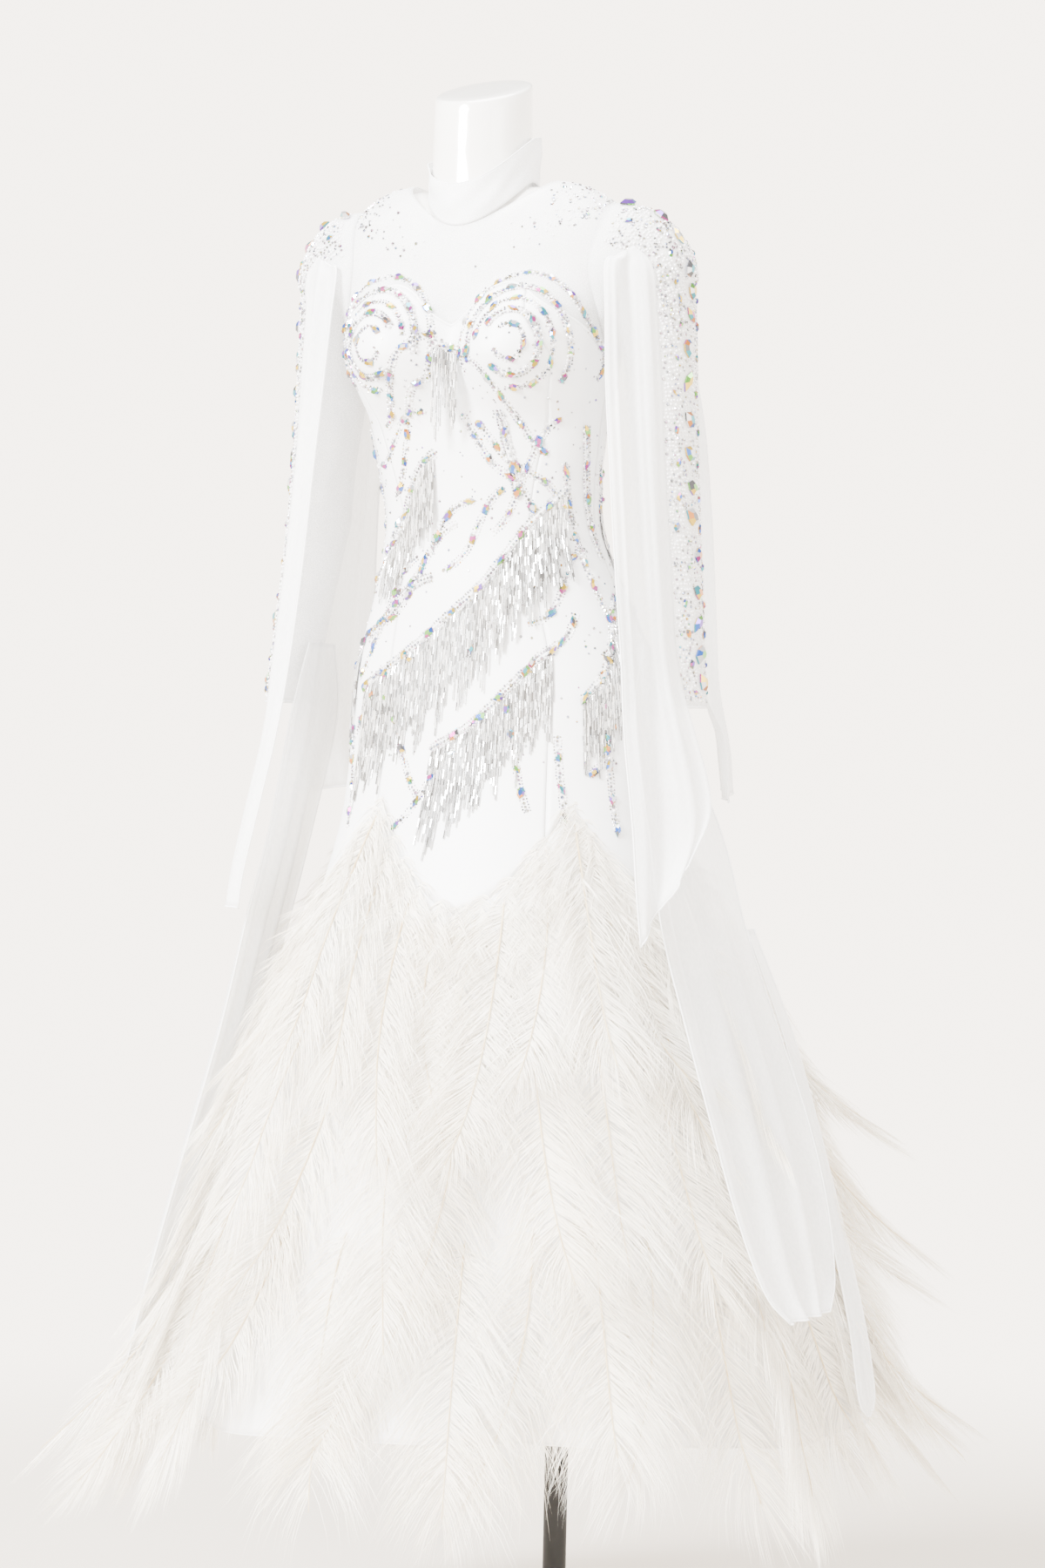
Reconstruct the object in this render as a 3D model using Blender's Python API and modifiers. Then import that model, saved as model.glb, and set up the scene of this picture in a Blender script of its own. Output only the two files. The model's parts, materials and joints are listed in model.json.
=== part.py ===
"""Ballroom dance dress on a limbless dress form: every sewn piece, the form and its stand.

Metres, +Z up. The dress faces -Y and the wearer's left is +X. The origin is the middle of the
underside of the stand's base.
"""
import math

import bmesh
import bpy
from mathutils import Matrix, Vector
from mathutils.bvhtree import BVHTree

MM = 0.001
CLOTH = 1.5 * MM            # thickness of a cloth wall
SEAM = 0.4 * MM             # clear gap between two sewn pieces
FORM_INSET = 4.5 * MM       # the form lies this far inside the cloth
LIFT = 0.9 * MM             # trims lie this far outside the cloth
TRIM = CLOTH + LIFT

CHEST_Z = 1.400             # level of the underarm
HEM_Z = 0.283
JOIN_Z = 0.810              # where the bodice meets the skirt, at its lowest
JOIN_RISE = 120 * MM
JOIN_POINTS = 5             # the join runs up to this many points
JOIN_TURN = 42              # degrees, one of the points
FOLDS = 11                  # soft folds round the hem
FOLD_DEPTH = 11 * MM

# The trunk, level by level: half width, depth to the front and back, middle, corner power.
SECTION = ("z", "half", "front", "back", "x", "y", "power")
SECTIONS = (
    (1.400, 0.146, 0.092, 0.095, -0.082, -0.060, 2.35),
    (1.330, 0.130, 0.086, 0.086, -0.079, -0.058, 2.3),
    (1.230, 0.119, 0.080, 0.080, -0.074, -0.054, 2.2),
    (1.150, 0.141, 0.090, 0.100, -0.067, -0.050, 2.2),
    (1.070, 0.166, 0.100, 0.122, -0.061, -0.046, 2.2),
    (0.980, 0.174, 0.112, 0.126, -0.060, -0.046, 2.1),
    (0.900, 0.184, 0.134, 0.140, -0.058, -0.045, 2.1),
    (0.750, 0.232, 0.200, 0.205, -0.053, -0.040, 2.0),
    (0.600, 0.282, 0.262, 0.265, -0.047, -0.035, 2.0),
    (0.450, 0.328, 0.315, 0.318, -0.042, -0.031, 2.0),
    (0.250, 0.378, 0.370, 0.370, -0.040, -0.030, 2.0),
)
NECK_X, NECK_Y = -0.0950, -0.052
NECK_HALF, NECK_DEEP = 0.058, 0.062
NECK_FRONT_Z, NECK_SIDE_Z, NECK_BACK_Z = 1.545, 1.597, 1.584
CUP_X, CUP_Z, CUP_R, CUP_OUT = 0.082, 1.413, 0.084, 0.046
SHOULDER_TIP = 0.40         # the armhole starts this far along from neck to underarm
SHOULDER_WIDER = 30 * MM    # the shoulders stand this far beyond the underarms
ARMHOLE = 30                # degrees, half its widest opening

# The sweetheart line of the front: height at each share of the way from middle to side seam.
SWEETHEART = ((0.0, 1.434), (0.12, 1.449), (0.28, 1.476), (0.46, 1.494), (0.62, 1.492),
              (0.78, 1.466), (0.91, 1.428), (1.0, CHEST_Z))
PRINCESS_BUST, PRINCESS_HIP = 0.60, 0.36    # where that seam runs, as shares to the side seam

WHITE = (0.93, 0.93, 0.93)
IVORY = (0.90, 0.88, 0.83)

collection = None


def start():
    """Empty the scene and make the collection."""
    global collection
    for thing in list(bpy.data.objects):
        bpy.data.objects.remove(thing)
    collection = bpy.data.collections.new("ballroom_dress")
    bpy.context.scene.collection.children.link(collection)


def material(name, colour, roughness, metallic=0.0):
    made = bpy.data.materials.get(name)
    if made is None:
        made = bpy.data.materials.new(name)
        made.use_nodes = True
        shader = made.node_tree.nodes["Principled BSDF"]
        shader.inputs["Base Color"].default_value = (*colour, 1)
        shader.inputs["Roughness"].default_value = roughness
        shader.inputs["Metallic"].default_value = metallic
    return made


def place(name, mesh, finish):
    made = bpy.data.objects.new(name, mesh)
    made.data.materials.append(material(*finish))
    collection.objects.link(made)
    return made


MESH_NET = ("sheer_mesh", WHITE, 0.6)
SATIN = ("stretch_satin", WHITE, 0.45)
CHIFFON = ("chiffon", WHITE, 0.6)
PLUME = ("ostrich_plume", IVORY, 0.8)
STONES = ("crystal_stones", (0.75, 0.80, 0.85), 0.1, 0.4)
BEADS = ("bugle_beads", (0.80, 0.80, 0.80), 0.2, 0.7)
GLOSS = ("gloss_ivory_shell", (0.90, 0.88, 0.84), 0.12)
BLACK = ("black_metal", (0.02, 0.02, 0.02), 0.35, 0.6)
NYLON = ("white_nylon", WHITE, 0.4)
ENAMEL = ("white_enamel", WHITE, 0.3, 0.2)


def mix(a, b, share):
    return a + (b - a) * share


def smooth(share):
    share = min(max(share, 0.0), 1.0)
    return share * share * (3 - 2 * share)


def along(table, key):
    """Read a table at a key in its first column, smoothly, whichever way the column runs."""
    rows = sorted(table)
    if key <= rows[0][0]:
        return rows[0][1:]
    if key >= rows[-1][0]:
        return rows[-1][1:]
    i = next(k for k in range(len(rows) - 1) if key <= rows[k + 1][0])
    before, low, high = rows[max(i - 1, 0)], rows[i], rows[i + 1]
    after = rows[min(i + 2, len(rows) - 1)]
    step = high[0] - low[0]
    t = (key - low[0]) / step
    found = []
    for c in range(1, len(low)):
        rise = (high[c] - before[c]) / (high[0] - before[0]) * step
        fall = (after[c] - low[c]) / (after[0] - low[0]) * step
        found.append(low[c] * (1 + 2 * t) * (1 - t) ** 2 + rise * t * (1 - t) ** 2
                     + high[c] * t * t * (3 - 2 * t) - fall * t * t * (1 - t))
    return tuple(found)


def turn(angle):
    """Sine and cosine of an angle in degrees; 0 is the front, 90 the wearer's left."""
    return math.sin(math.radians(angle)), math.cos(math.radians(angle))


def signed_power(value, power):
    return math.copysign(abs(value) ** power, value)


def fold_wave(angle, z):
    """How far a hem fold stands out at this angle and level."""
    share = smooth((0.50 - z) / 0.24)
    wave = math.sin(math.radians(angle * FOLDS)) + 0.4 * math.sin(math.radians(angle * 4 + 50))
    return FOLD_DEPTH * share * wave


def ring(angle, z, out=0.0):
    """A point on the trunk or skirt at a level, moved out by a distance."""
    half, front, back, x, y, power = along(SECTIONS, z)
    s, c = turn(angle)
    out += fold_wave(angle, z)
    deep = (front if c > 0 else back) + out
    px = x + (half + out) * signed_power(s, 2 / power)
    py = y - deep * signed_power(c, 2 / power)
    return Vector((px, py - cup(px - x, z, c, out), z))


def cup(dx, z, facing, out=0.0):
    """How far the cups push the front out; a shell inside them is a smaller dome."""
    if facing <= 0:
        return 0.0
    push = 0.0
    for side in (-1, 1):
        far = math.hypot(dx - side * CUP_X, z - CUP_Z) / CUP_R
        if far < 1:
            push = max(push, CUP_OUT * (1 - far * far) ** 1.3)
    return push * smooth(facing * 3) * (1 + min(out, 0) / CUP_OUT)


def neck_base(angle):
    s, c = turn(angle)
    end = NECK_FRONT_Z if c > 0 else NECK_BACK_Z
    return mix(NECK_SIDE_Z, end, abs(c) ** 1.5)


def shoulder(angle, share, out=0.0):
    """A point on the shoulders: 0 is the neck, 1 the level of the underarm."""
    s, c = turn(angle)
    low = ring(angle, CHEST_Z, out)
    low.y += cup(low.x - along(SECTIONS, CHEST_Z)[3], CHEST_Z, c, out)
    near = Vector((NECK_X + (NECK_HALF + out) * s, NECK_Y - (NECK_DEEP + out) * c, 0))
    square = mix(1.25, 3.4, abs(s) ** 3)
    p = math.sin(share * math.pi / 2) ** (2 / square)
    q = math.cos(share * math.pi / 2) ** (2 / square)
    slope = 16 * MM * abs(s) ** 3 * math.sin(min(share, 1) * math.pi / 2) ** 2
    z = CHEST_Z + (neck_base(angle) + out - CHEST_Z) * q - slope * q
    x, y = mix(near.x, low.x, p), mix(near.y, low.y, p)
    x += SHOULDER_WIDER * signed_power(s, 3) * math.sin(math.pi * share ** 1.3)
    middle = along(SECTIONS, CHEST_Z)[3]
    return Vector((x, y - cup(x - middle, z, c, out), z))


def join_level(angle):
    """Height of the pointed join between bodice and skirt."""
    phase = ((angle - JOIN_TURN) * JOIN_POINTS / 360) % 1
    return JOIN_Z + JOIN_RISE * abs(2 * phase - 1) ** 1.4


def hem_level(angle):
    return HEM_Z + 7 * MM * math.sin(math.radians(3 * angle + 20))


def trunk(angle, level, out=0.0):
    """Level 0 to 1 runs from neck to underarm, 1 to 2 to the join, 2 to 3 to the hem."""
    if level < 1:
        return shoulder(angle, max(level, 0), out)
    if level <= 2:
        return ring(angle, mix(CHEST_Z, join_level(angle), level - 1), out)
    return ring(angle, mix(join_level(angle), hem_level(angle), level - 2), out)


worn = []                   # the faces of the worn cloth that trims lie on


def learn_worn():
    """Keep the outer faces of yoke, bodice and skirt, so that trims are laid on them."""
    graph = bpy.context.evaluated_depsgraph_get()
    points, faces = [], []
    for thing in collection.objects:
        if thing.name.startswith(("yoke", "bodice", "skirt")):
            mesh = thing.evaluated_get(graph).to_mesh()
            faces += [[v + len(points) for v in face.vertices] for face in mesh.polygons]
            points += [thing.matrix_world @ v.co for v in mesh.vertices]
    worn.append(BVHTree.FromPolygons(points, faces))


def surface(angle, level, out):
    """A point square off the worn cloth's outer side; out counts from the cloth's inner side."""
    here = trunk(angle, level)
    around = trunk(angle + 1, level) - trunk(angle - 1, level)
    down = trunk(angle, level + 0.01) - trunk(angle, max(level - 0.01, 0))
    away = down.cross(around).normalized()
    hit = worn[0].ray_cast(here + away * 30 * MM, -away, 60 * MM)[0]
    return (hit - away * CLOTH if hit else here) + away * out


def share_at(angle, z):
    """Where on the shoulders the surface passes a height, found by halving."""
    low, high = 0.0, 1.0
    for _ in range(30):
        half = (low + high) / 2
        if shoulder(angle, half).z > z:
            low = half
        else:
            high = half
    return low


def armhole(level):
    """Half the armhole's opening at a level, in degrees."""
    share = (level - SHOULDER_TIP) / (1 - SHOULDER_TIP)
    if share <= 0 or share >= 1:
        return 0.0
    return ARMHOLE * math.sin(math.pi * share) ** 0.6


def wall(name, rows, finish, closed=False, thick=CLOTH, outward=1):
    """Cloth: an open grid of points, thickened to the side that its normals face."""
    mesh = bpy.data.meshes.new(name)
    width = len(rows[0])
    faces = []
    for j in range(len(rows) - 1):
        for i in range(width if closed else width - 1):
            k = (i + 1) % width
            faces.append((j * width + i, (j + 1) * width + i, (j + 1) * width + k, j * width + k))
    mesh.from_pydata([p for row in rows for p in row], [], faces)
    mesh.shade_smooth()
    made = place(name, mesh, finish)
    solid = made.modifiers.new("cloth", "SOLIDIFY")
    solid.thickness = thick
    solid.offset = outward
    return made


def body(name, rings, finish):
    """A closed solid through rings of points, from the top down."""
    made = wall(name, rings, finish, closed=True)
    made.modifiers.clear()
    shape = bmesh.new()
    shape.from_mesh(made.data)
    shape.verts.ensure_lookup_table()
    width = len(rings[0])
    shape.faces.new(shape.verts[:width])
    shape.faces.new(shape.verts[-width:][::-1])
    shape.to_mesh(made.data)
    shape.free()
    made.data.set_sharp_from_angle(angle=math.radians(50))
    return made


def steps(start_at, end_at, count):
    return [mix(start_at, end_at, i / count) for i in range(count + 1)]


SEAM_TURN = math.degrees(SEAM / 2 / SECTIONS[0][1])
SLIT = 3.2 * MM             # half the opening that the zip closes


def front_angle(share, level):
    """From -1 at the right side seam to 1 at the left one."""
    return share * (90 - armhole(level) - SEAM_TURN)


def back_angle(side, share, level, z):
    """From 0 at the zip to 1 at the side seam; side is 1 for the wearer's left."""
    deep = along(SECTIONS, min(z, CHEST_Z))[2]
    slit = math.degrees(SLIT / deep)
    return side * (180 - mix(slit, 90 - armhole(level) - SEAM_TURN, share))


def sweetheart(share):
    """Level of the front's top edge."""
    z = along(SWEETHEART, abs(share))[0]
    return 1.0 if z <= CHEST_Z else share_at(share * 90, z)


BACK_LINE = ((0.0, 1.452), (0.5, 1.436), (1.0, CHEST_Z))


def back_line(share):
    z = along(BACK_LINE, share)[0]
    return 1.0 if z <= CHEST_Z else share_at(180 - share * 90, z)


YOKE_TOP = 0.06
EDGE = 0.003                # seam gap between yoke and bodice, in levels
BODICE_TOP_ROWS, BODICE_ROWS = 3, 10
CLOSE = 0.002               # levels between the rows that crowd together at the underarm


def bodice_levels(top):
    """A column's levels from a top edge above the underarm, or just below it, to the join."""
    below = 1.0 + CLOSE * BODICE_TOP_ROWS
    upper = steps(top, 1.0, BODICE_TOP_ROWS) if top < 1 else steps(1.0, below, BODICE_TOP_ROWS)
    return upper[:-1] + steps(below, 2.0 - EDGE, BODICE_ROWS)


PANEL_COLUMNS = 6
SEAM_SHARE = SEAM_TURN / 90 # a seam's gap as a share of the way to the side seam
# Each front panel: its edges, as -1 and 1 for side seams and -0.5 and 0.5 for princess seams.
FRONT_PANELS = (("bodice_side_right", -1, -0.5), ("bodice_front", -0.5, 0.5),
                ("bodice_side_left", 0.5, 1))


def princess(level):
    return mix(PRINCESS_BUST, PRINCESS_HIP, smooth((level - 0.9) / 0.6))


def front_share(place, level, gap=0.0):
    """Turn a place across the panels, from -1 to 1, into a share of the way to the side seam."""
    seam = princess(level)
    far = abs(place)
    share = far * 2 * seam if far <= 0.5 else mix(seam, 1, far * 2 - 1)
    return math.copysign(share + gap * (1 - far) * 2 if far >= 0.5 else share, place)


def yokes():
    places = steps(-1, 1, 4 * PANEL_COLUMNS)
    shares = [front_share(place, 0.8) for place in places]
    rows = [[trunk(front_angle(f, mix(YOKE_TOP, sweetheart(f) - EDGE, t)),
                   mix(YOKE_TOP, sweetheart(f) - EDGE, t)) for f in shares] for t in steps(0, 1, 5)]
    wall("yoke_front", rows, MESH_NET)
    for side, name in ((1, "left"), (-1, "right")):
        rows = []
        for t in steps(0, 1, 7):
            row = []
            for g in steps(0, 1, 8)[::side * -1]:
                level = mix(YOKE_TOP, back_line(g) - EDGE, t)
                row.append(trunk(back_angle(side, g, level, CHEST_Z), level))
            rows.append(row)
        wall("yoke_back_" + name, rows, MESH_NET)


def bodice():
    for name, first, last in FRONT_PANELS:
        count = PANEL_COLUMNS * (2 if last - first == 1 else 1)
        gap = 0 if last - first == 1 else SEAM_SHARE
        columns = []
        for place in steps(first, last, count):
            levels = bodice_levels(sweetheart(front_share(place, 0.8)))
            columns.append([(front_angle(front_share(place, c, gap), c), c) for c in levels])
        wall(name, [[trunk(*column[j]) for column in columns] for j in range(len(columns[0]))], SATIN)
    for side, name in ((1, "left"), (-1, "right")):
        columns = []
        for g in steps(0, 1, 8)[::side * -1]:
            levels = bodice_levels(back_line(g))
            heights = [mix(CHEST_Z, JOIN_Z, c - 1) for c in levels]
            columns.append([trunk(back_angle(side, g, c, z), c) for c, z in zip(levels, heights)])
        rows = [[column[j] for column in columns] for j in range(len(columns[0]))]
        wall("bodice_back_" + name, rows, SATIN)


SKIRT_COLUMNS, SKIRT_ROWS = 28, 5
PETTICOAT_WAVE, PETTICOAT_SPREAD = 5.4 * MM, 5.5
# name, how far inside the skirt, how far below its hem, turn of the waves in degrees
PETTICOATS = (("petticoat_middle", 2.2 * MM, 2 * MM, 0.0),
              ("petticoat_inner", 4.4 * MM, 4 * MM, 16.0))
TUCK = 0.021                # the skirt is tucked this far under the bodice, in levels


def skirts():
    levels = [2 - TUCK, 2 + TUCK] + steps(2.14, 3, SKIRT_ROWS - 1)
    for name, first in (("skirt_front", -90), ("skirt_back", 90)):
        angles = steps(first + SEAM_TURN, first + 180 - SEAM_TURN, SKIRT_COLUMNS)
        rows = []
        for c in levels:
            under = -(CLOTH + 4.6 * SEAM) * (1 - smooth((c - 2 - TUCK) / 0.26))
            rows.append([trunk(a, c, under) for a in angles])
        wall(name, rows, SATIN)
    angles = steps(-90, 270, 36)[:-1]
    for name, inside, drop, phase in PETTICOATS:
        rows = []
        for t in steps(0, 1, 3):
            row = []
            for a in angles:
                wave = PETTICOAT_WAVE * t * math.sin(math.radians(9 * a + phase))
                point = trunk(a, mix(2.5, 3, t), wave - inside * (1 + PETTICOAT_SPREAD * t))
                point.z -= drop * t * (1 + 0.5 * math.sin(math.radians(5 * a + phase)))
                row.append(point)
            rows.append(row)
        wall(name, rows, CHIFFON, closed=True, thick=1.2 * MM, outward=-1)


COLLAR_HIGH = 46 * MM
COLLAR_PEAK, COLLAR_PEAK_AT = 13 * MM, 120      # it stands higher at the left of the back
COLLAR_LOOSE, COLLAR_PUCKER = 3.0 * MM, 2.2 * MM
COLLAR_END = 178            # degrees each way from the front to the opening


def collar():
    rows = []
    for t in steps(1, 0, 3):
        row = []
        for a in steps(-COLLAR_END, COLLAR_END, 26):
            s, c = turn(a)
            behind = smooth((abs(a - 30) - 40) / 70)
            peak = COLLAR_PEAK * behind * math.exp(-((a - COLLAR_PEAK_AT) / 45) ** 2)
            pucker = COLLAR_PUCKER * behind * math.sin(math.radians(a * 8))
            loose = t * (COLLAR_LOOSE + pucker)
            row.append(trunk(a, 0) + Vector((s * loose, -c * loose, SEAM + (COLLAR_HIGH + peak) * t)))
        rows.append(row)
    wall("collar", rows, MESH_NET)


NECK_TOP_Z, NECK_SLOPE = 1.699, 0.374
FORM_BOTTOM = 0.890


def dress_form():
    angles = steps(-180, 180, 30)[:-1]
    middle = Vector((-0.0965, NECK_Y - 2 * MM, 0))

    def neck(angle, wide, deep, z):
        s, c = turn(angle)
        point = middle + Vector((wide * s, -deep * c, z))
        return point + Vector((0, 0, NECK_SLOPE * (point.y - middle.y) * smooth((z - 1.60) / 0.09)))
    rings = [[neck(a, 0.049, 0.050, NECK_TOP_Z) for a in angles],
             [neck(a, 0.0525, 0.0535, NECK_TOP_Z - 3 * MM) for a in angles],
             [neck(a, 0.0530, 0.0545, NECK_TOP_Z - 30 * MM) for a in angles],
             [neck(a, 0.0535, 0.0560, NECK_TOP_Z - 65 * MM) for a in angles]]
    for level in (0.0, 0.10, 0.22, 0.35, 0.50, 0.66, 0.84):
        rings.append([shoulder(a, level, -FORM_INSET - level * (3 + 8 * abs(turn(a)[0]) ** 4) * MM)
                      for a in angles])
    heights = (1.40, 1.37, 1.34, 1.29, 1.23, 1.17, 1.11, 1.04, 0.97, FORM_BOTTOM + 0.02)
    rings += [[ring(a, z, -FORM_INSET - 3 * MM * smooth((z - 1.3) / 0.1)) for a in angles]
              for z in heights]
    rings += [[ring(a, FORM_BOTTOM, -FORM_INSET - 15 * MM) for a in angles]]
    level_ring = rings[-1]
    for point in level_ring:
        point.z = FORM_BOTTOM
    body("dress_form", rings, GLOSS)


POLE_R = 12.7 * MM
BASE_R, BASE_HIGH = 0.190, 12 * MM


def turned(name, profile, finish, sides=32):
    """A solid of revolution about Z from its radius and height pairs, top first."""
    rings = [[Vector((r * math.cos(a), r * math.sin(a), z))
              for a in (math.tau * i / sides for i in range(sides))] for r, z in profile]
    return body(name, rings, finish)


def stand():
    turned("stand_base", ((0.040, BASE_HIGH + 6 * MM), (0.046, BASE_HIGH + 1 * MM),
                          (BASE_R - 6 * MM, BASE_HIGH - 1 * MM), (BASE_R, BASE_HIGH - 6 * MM),
                          (BASE_R, 2 * MM), (BASE_R - 2 * MM, 0)), BLACK, 28)
    turned("stand_pole", ((POLE_R, FORM_BOTTOM - 0.3 * MM), (POLE_R, BASE_HIGH + 6.3 * MM)), BLACK, 20)


# The left sleeve as it hangs: height, middle x and y, half thickness, half width.
SLEEVE = ((1.470, 0.104, -0.044, 0.040, 0.047), (1.400, 0.113, -0.042, 0.034, 0.045),
          (1.310, 0.120, -0.042, 0.031, 0.043), (1.220, 0.128, -0.044, 0.029, 0.040),
          (1.120, 0.141, -0.050, 0.025, 0.035), (1.035, 0.152, -0.056, 0.022, 0.030))
MIRROR_X = -0.0825          # the plane that the sleeves and floats mirror in
SLEEVE_COLUMNS = 16
BAND_RAISE = 2.0 * MM
CAP_ROWS = 4


def armhole_point(side, phi):
    """Round an armhole's edge: 0 is the shoulder tip, 90 the back, 180 the underarm."""
    share = (1 - math.cos(math.radians(phi))) / 2
    level = mix(SHOULDER_TIP, 1, share)
    behind = 1 if 0 < phi % 360 < 180 else -1
    return trunk(side * (90 + behind * (armhole(level) + 0.85)), level, TRIM + LIFT)


def sleeve_point(side, phi, row, out=0.0):
    """A point on a sleeve, side 1 being the wearer's left; rows below 0 are in its cap."""
    s, c = turn(phi)
    band = BAND_RAISE * smooth((c - 0.35) / 0.25)
    index = min(max(row, 0), len(SLEEVE) - 1)
    low = int(min(index, len(SLEEVE) - 2))
    z, x, y, thin, wide = (mix(a, b, index - low) for a, b in zip(SLEEVE[low], SLEEVE[low + 1]))
    tilt = (thin + out) * c * 0.55 * smooth(1 - index / 2)
    hung = Vector((x + (thin + out + band) * c, y + (wide + out) * s, z + tilt))
    if side < 0:
        hung = mirrored(hung)
    if row >= 0:
        return hung
    share = 1 + row
    first = armhole_point(side, phi)
    reach = 0.055 * (1 + c) / 2 + 0.010
    ahead, above = first + Vector((side * reach, 0, 0)), hung + Vector((0, 0, reach))
    point = (first * (1 - share) ** 3 + ahead * 3 * share * (1 - share) ** 2
             + above * 3 * share * share * (1 - share) + hung * share ** 3)
    away = Vector((0, s, c)) * (1 - share) + Vector((side * c, s, 0)) * share
    return point + away * (out + band * smooth(share * 3))


def mirrored(point):
    return Vector((2 * MIRROR_X - point.x, point.y, point.z))


def sleeves():
    turns = steps(0, 360, SLEEVE_COLUMNS)[:-1]
    levels = steps(-1, 0, CAP_ROWS)[:-1] + steps(0, len(SLEEVE) - 1, 7)
    for side, name in ((1, "left"), (-1, "right")):
        rows = [[sleeve_point(side, phi, level) for phi in turns[::side]] for level in levels]
        wall("sleeve_" + name, rows, MESH_NET, closed=True)


# The floats of the left side hang from the sleeve's seams and then free. Each row: the free edge,
# then the sewn edge, as a row of the sleeve or, below the sleeve's end, as a point.
FRONT_SEAM, BACK_SEAM = -62, 62        # where the floats are sewn to the sleeve, in degrees
FLOAT_FRONT = (((0.080, -0.118, 1.500), -0.10), ((0.083, -0.124, 1.450), 0.3),
               ((0.087, -0.128, 1.370), 1.3), ((0.096, -0.134, 1.280), 2.3),
               ((0.107, -0.142, 1.180), 3.4), ((0.122, -0.156, 1.080), 4.5),
               ((0.134, -0.170, 1.000), (0.186, -0.096, 1.005)),
               ((0.152, -0.186, 0.910), (0.205, -0.104, 0.955)),
               ((0.164, -0.200, 0.840), (0.213, -0.118, 0.920)),
               ((0.173, -0.206, 0.785), (0.208, -0.160, 0.870)))
FLOAT_BACK = (((0.080, 0.040, 1.500), -0.10), ((0.090, 0.060, 1.440), 0.4),
              ((0.108, 0.078, 1.350), 1.5), ((0.118, 0.088, 1.250), 2.6),
              ((0.124, 0.096, 1.140), 3.8), ((0.128, 0.102, 1.060), 4.7),
              ((0.132, 0.108, 0.990), (0.178, 0.002, 1.000)),
              ((0.136, 0.112, 0.950), (0.176, 0.020, 0.935)))
FLOAT_LONG = (((0.1166, -0.080, 1.100), (0.1166, -0.020, 1.100)),
              ((0.122, -0.112, 1.020), (0.124, 0.000, 1.020)),
              ((0.156, -0.150, 0.900), (0.172, 0.015, 0.900)),
              ((0.182, -0.172, 0.800), (0.204, 0.010, 0.800)),
              ((0.214, -0.178, 0.700), (0.248, -0.005, 0.700)),
              ((0.250, -0.188, 0.600), (0.296, -0.030, 0.600)),
              ((0.285, -0.200, 0.510), (0.330, -0.060, 0.520)),
              ((0.318, -0.206, 0.440), (0.352, -0.092, 0.450)),
              ((0.342, -0.196, 0.410), (0.362, -0.128, 0.418)))
FLOAT_STRIP = (((0.2046, 0.0108, 0.800), (0.197, 0.048, 0.800)),
               ((0.252, 0.008, 0.680), (0.246, 0.054, 0.680)),
               ((0.306, -0.014, 0.520), (0.302, 0.038, 0.520)),
               ((0.344, -0.034, 0.400), (0.346, 0.010, 0.400)),
               ((0.364, -0.050, 0.320), (0.368, -0.012, 0.330)),
               ((0.370, -0.040, 0.300), (0.372, -0.022, 0.305)))
FAR_FRONT = (((-0.240, -0.118, 1.500), -0.10), ((-0.244, -0.124, 1.450), 0.3),
             ((-0.250, -0.130, 1.370), 1.3), ((-0.255, -0.140, 1.280), 2.3),
             ((-0.260, -0.150, 1.180), 3.4), ((-0.268, -0.160, 1.080), 4.5),
             ((-0.276, -0.172, 1.000), (-0.324, -0.092, 1.005)),
             ((-0.288, -0.186, 0.920), (-0.340, -0.096, 0.930)),
             ((-0.300, -0.196, 0.850), (-0.350, -0.108, 0.860)),
             ((-0.306, -0.196, 0.810), (-0.346, -0.130, 0.815)))
FAR_LONG = (((-0.2816, -0.080, 1.100), (-0.2816, -0.020, 1.100)),
            ((-0.286, -0.112, 1.020), (-0.290, 0.005, 1.020)),
            ((-0.302, -0.130, 0.900), (-0.322, 0.015, 0.900)),
            ((-0.318, -0.150, 0.800), (-0.344, 0.008, 0.800)),
            ((-0.336, -0.172, 0.680), (-0.374, 0.000, 0.680)),
            ((-0.366, -0.196, 0.540), (-0.410, -0.012, 0.540)),
            ((-0.398, -0.214, 0.400), (-0.440, -0.024, 0.400)),
            ((-0.416, -0.224, 0.310), (-0.466, -0.040, 0.300)),
            ((-0.430, -0.200, 0.285), (-0.468, -0.060, 0.276)))


def seam_edge(place_on, seam, flip):
    if isinstance(place_on, tuple):
        return Vector(place_on)
    return sleeve_point(-1 if flip else 1, seam, place_on, TRIM + 0.2 * MM)


def chiffon_float(name, table, seam, flip, columns, folds, deep):
    """A hanging panel; its folds fade out towards the sewn edge."""
    rows = []
    for j, (free, sewn) in enumerate(table):
        a, b = Vector(free), seam_edge(sewn, seam, flip)
        across = (b - a).cross(Vector((0, 0, 1))).normalized()
        down = j / (len(table) - 1)
        row = []
        for f in steps(0, 1, columns):
            wave = math.sin(math.pi * (folds * f + 0.4 * down)) * (1 - f ** 4)
            row.append(a.lerp(b, f) + across * deep * mix(0.1, 1.0, smooth(down * 3)) * wave)
        rows.append(row)
    wall(name, rows, CHIFFON, thick=1.2 * MM, outward=0)


def floats():
    chiffon_float("float_left_front", FLOAT_FRONT, FRONT_SEAM, False, 8, 3, 7 * MM)
    chiffon_float("float_left_back", FLOAT_BACK, BACK_SEAM, False, 8, 3, 7 * MM)
    chiffon_float("float_left_long", FLOAT_LONG, 0, False, 12, 6, 6 * MM)
    chiffon_float("float_left_strip", FLOAT_STRIP, 0, False, 3, 1, 3 * MM)
    chiffon_float("float_right_front", FAR_FRONT, FRONT_SEAM, True, 8, 3, 7 * MM)
    back = tuple((tuple(mirrored(Vector(free))), sewn if not isinstance(sewn, tuple)
                  else tuple(mirrored(Vector(sewn)))) for free, sewn in FLOAT_BACK)
    chiffon_float("float_right_back", back, BACK_SEAM, True, 8, 3, 7 * MM)
    chiffon_float("float_right_long", FAR_LONG, 0, True, 12, 7, 8 * MM)


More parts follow.
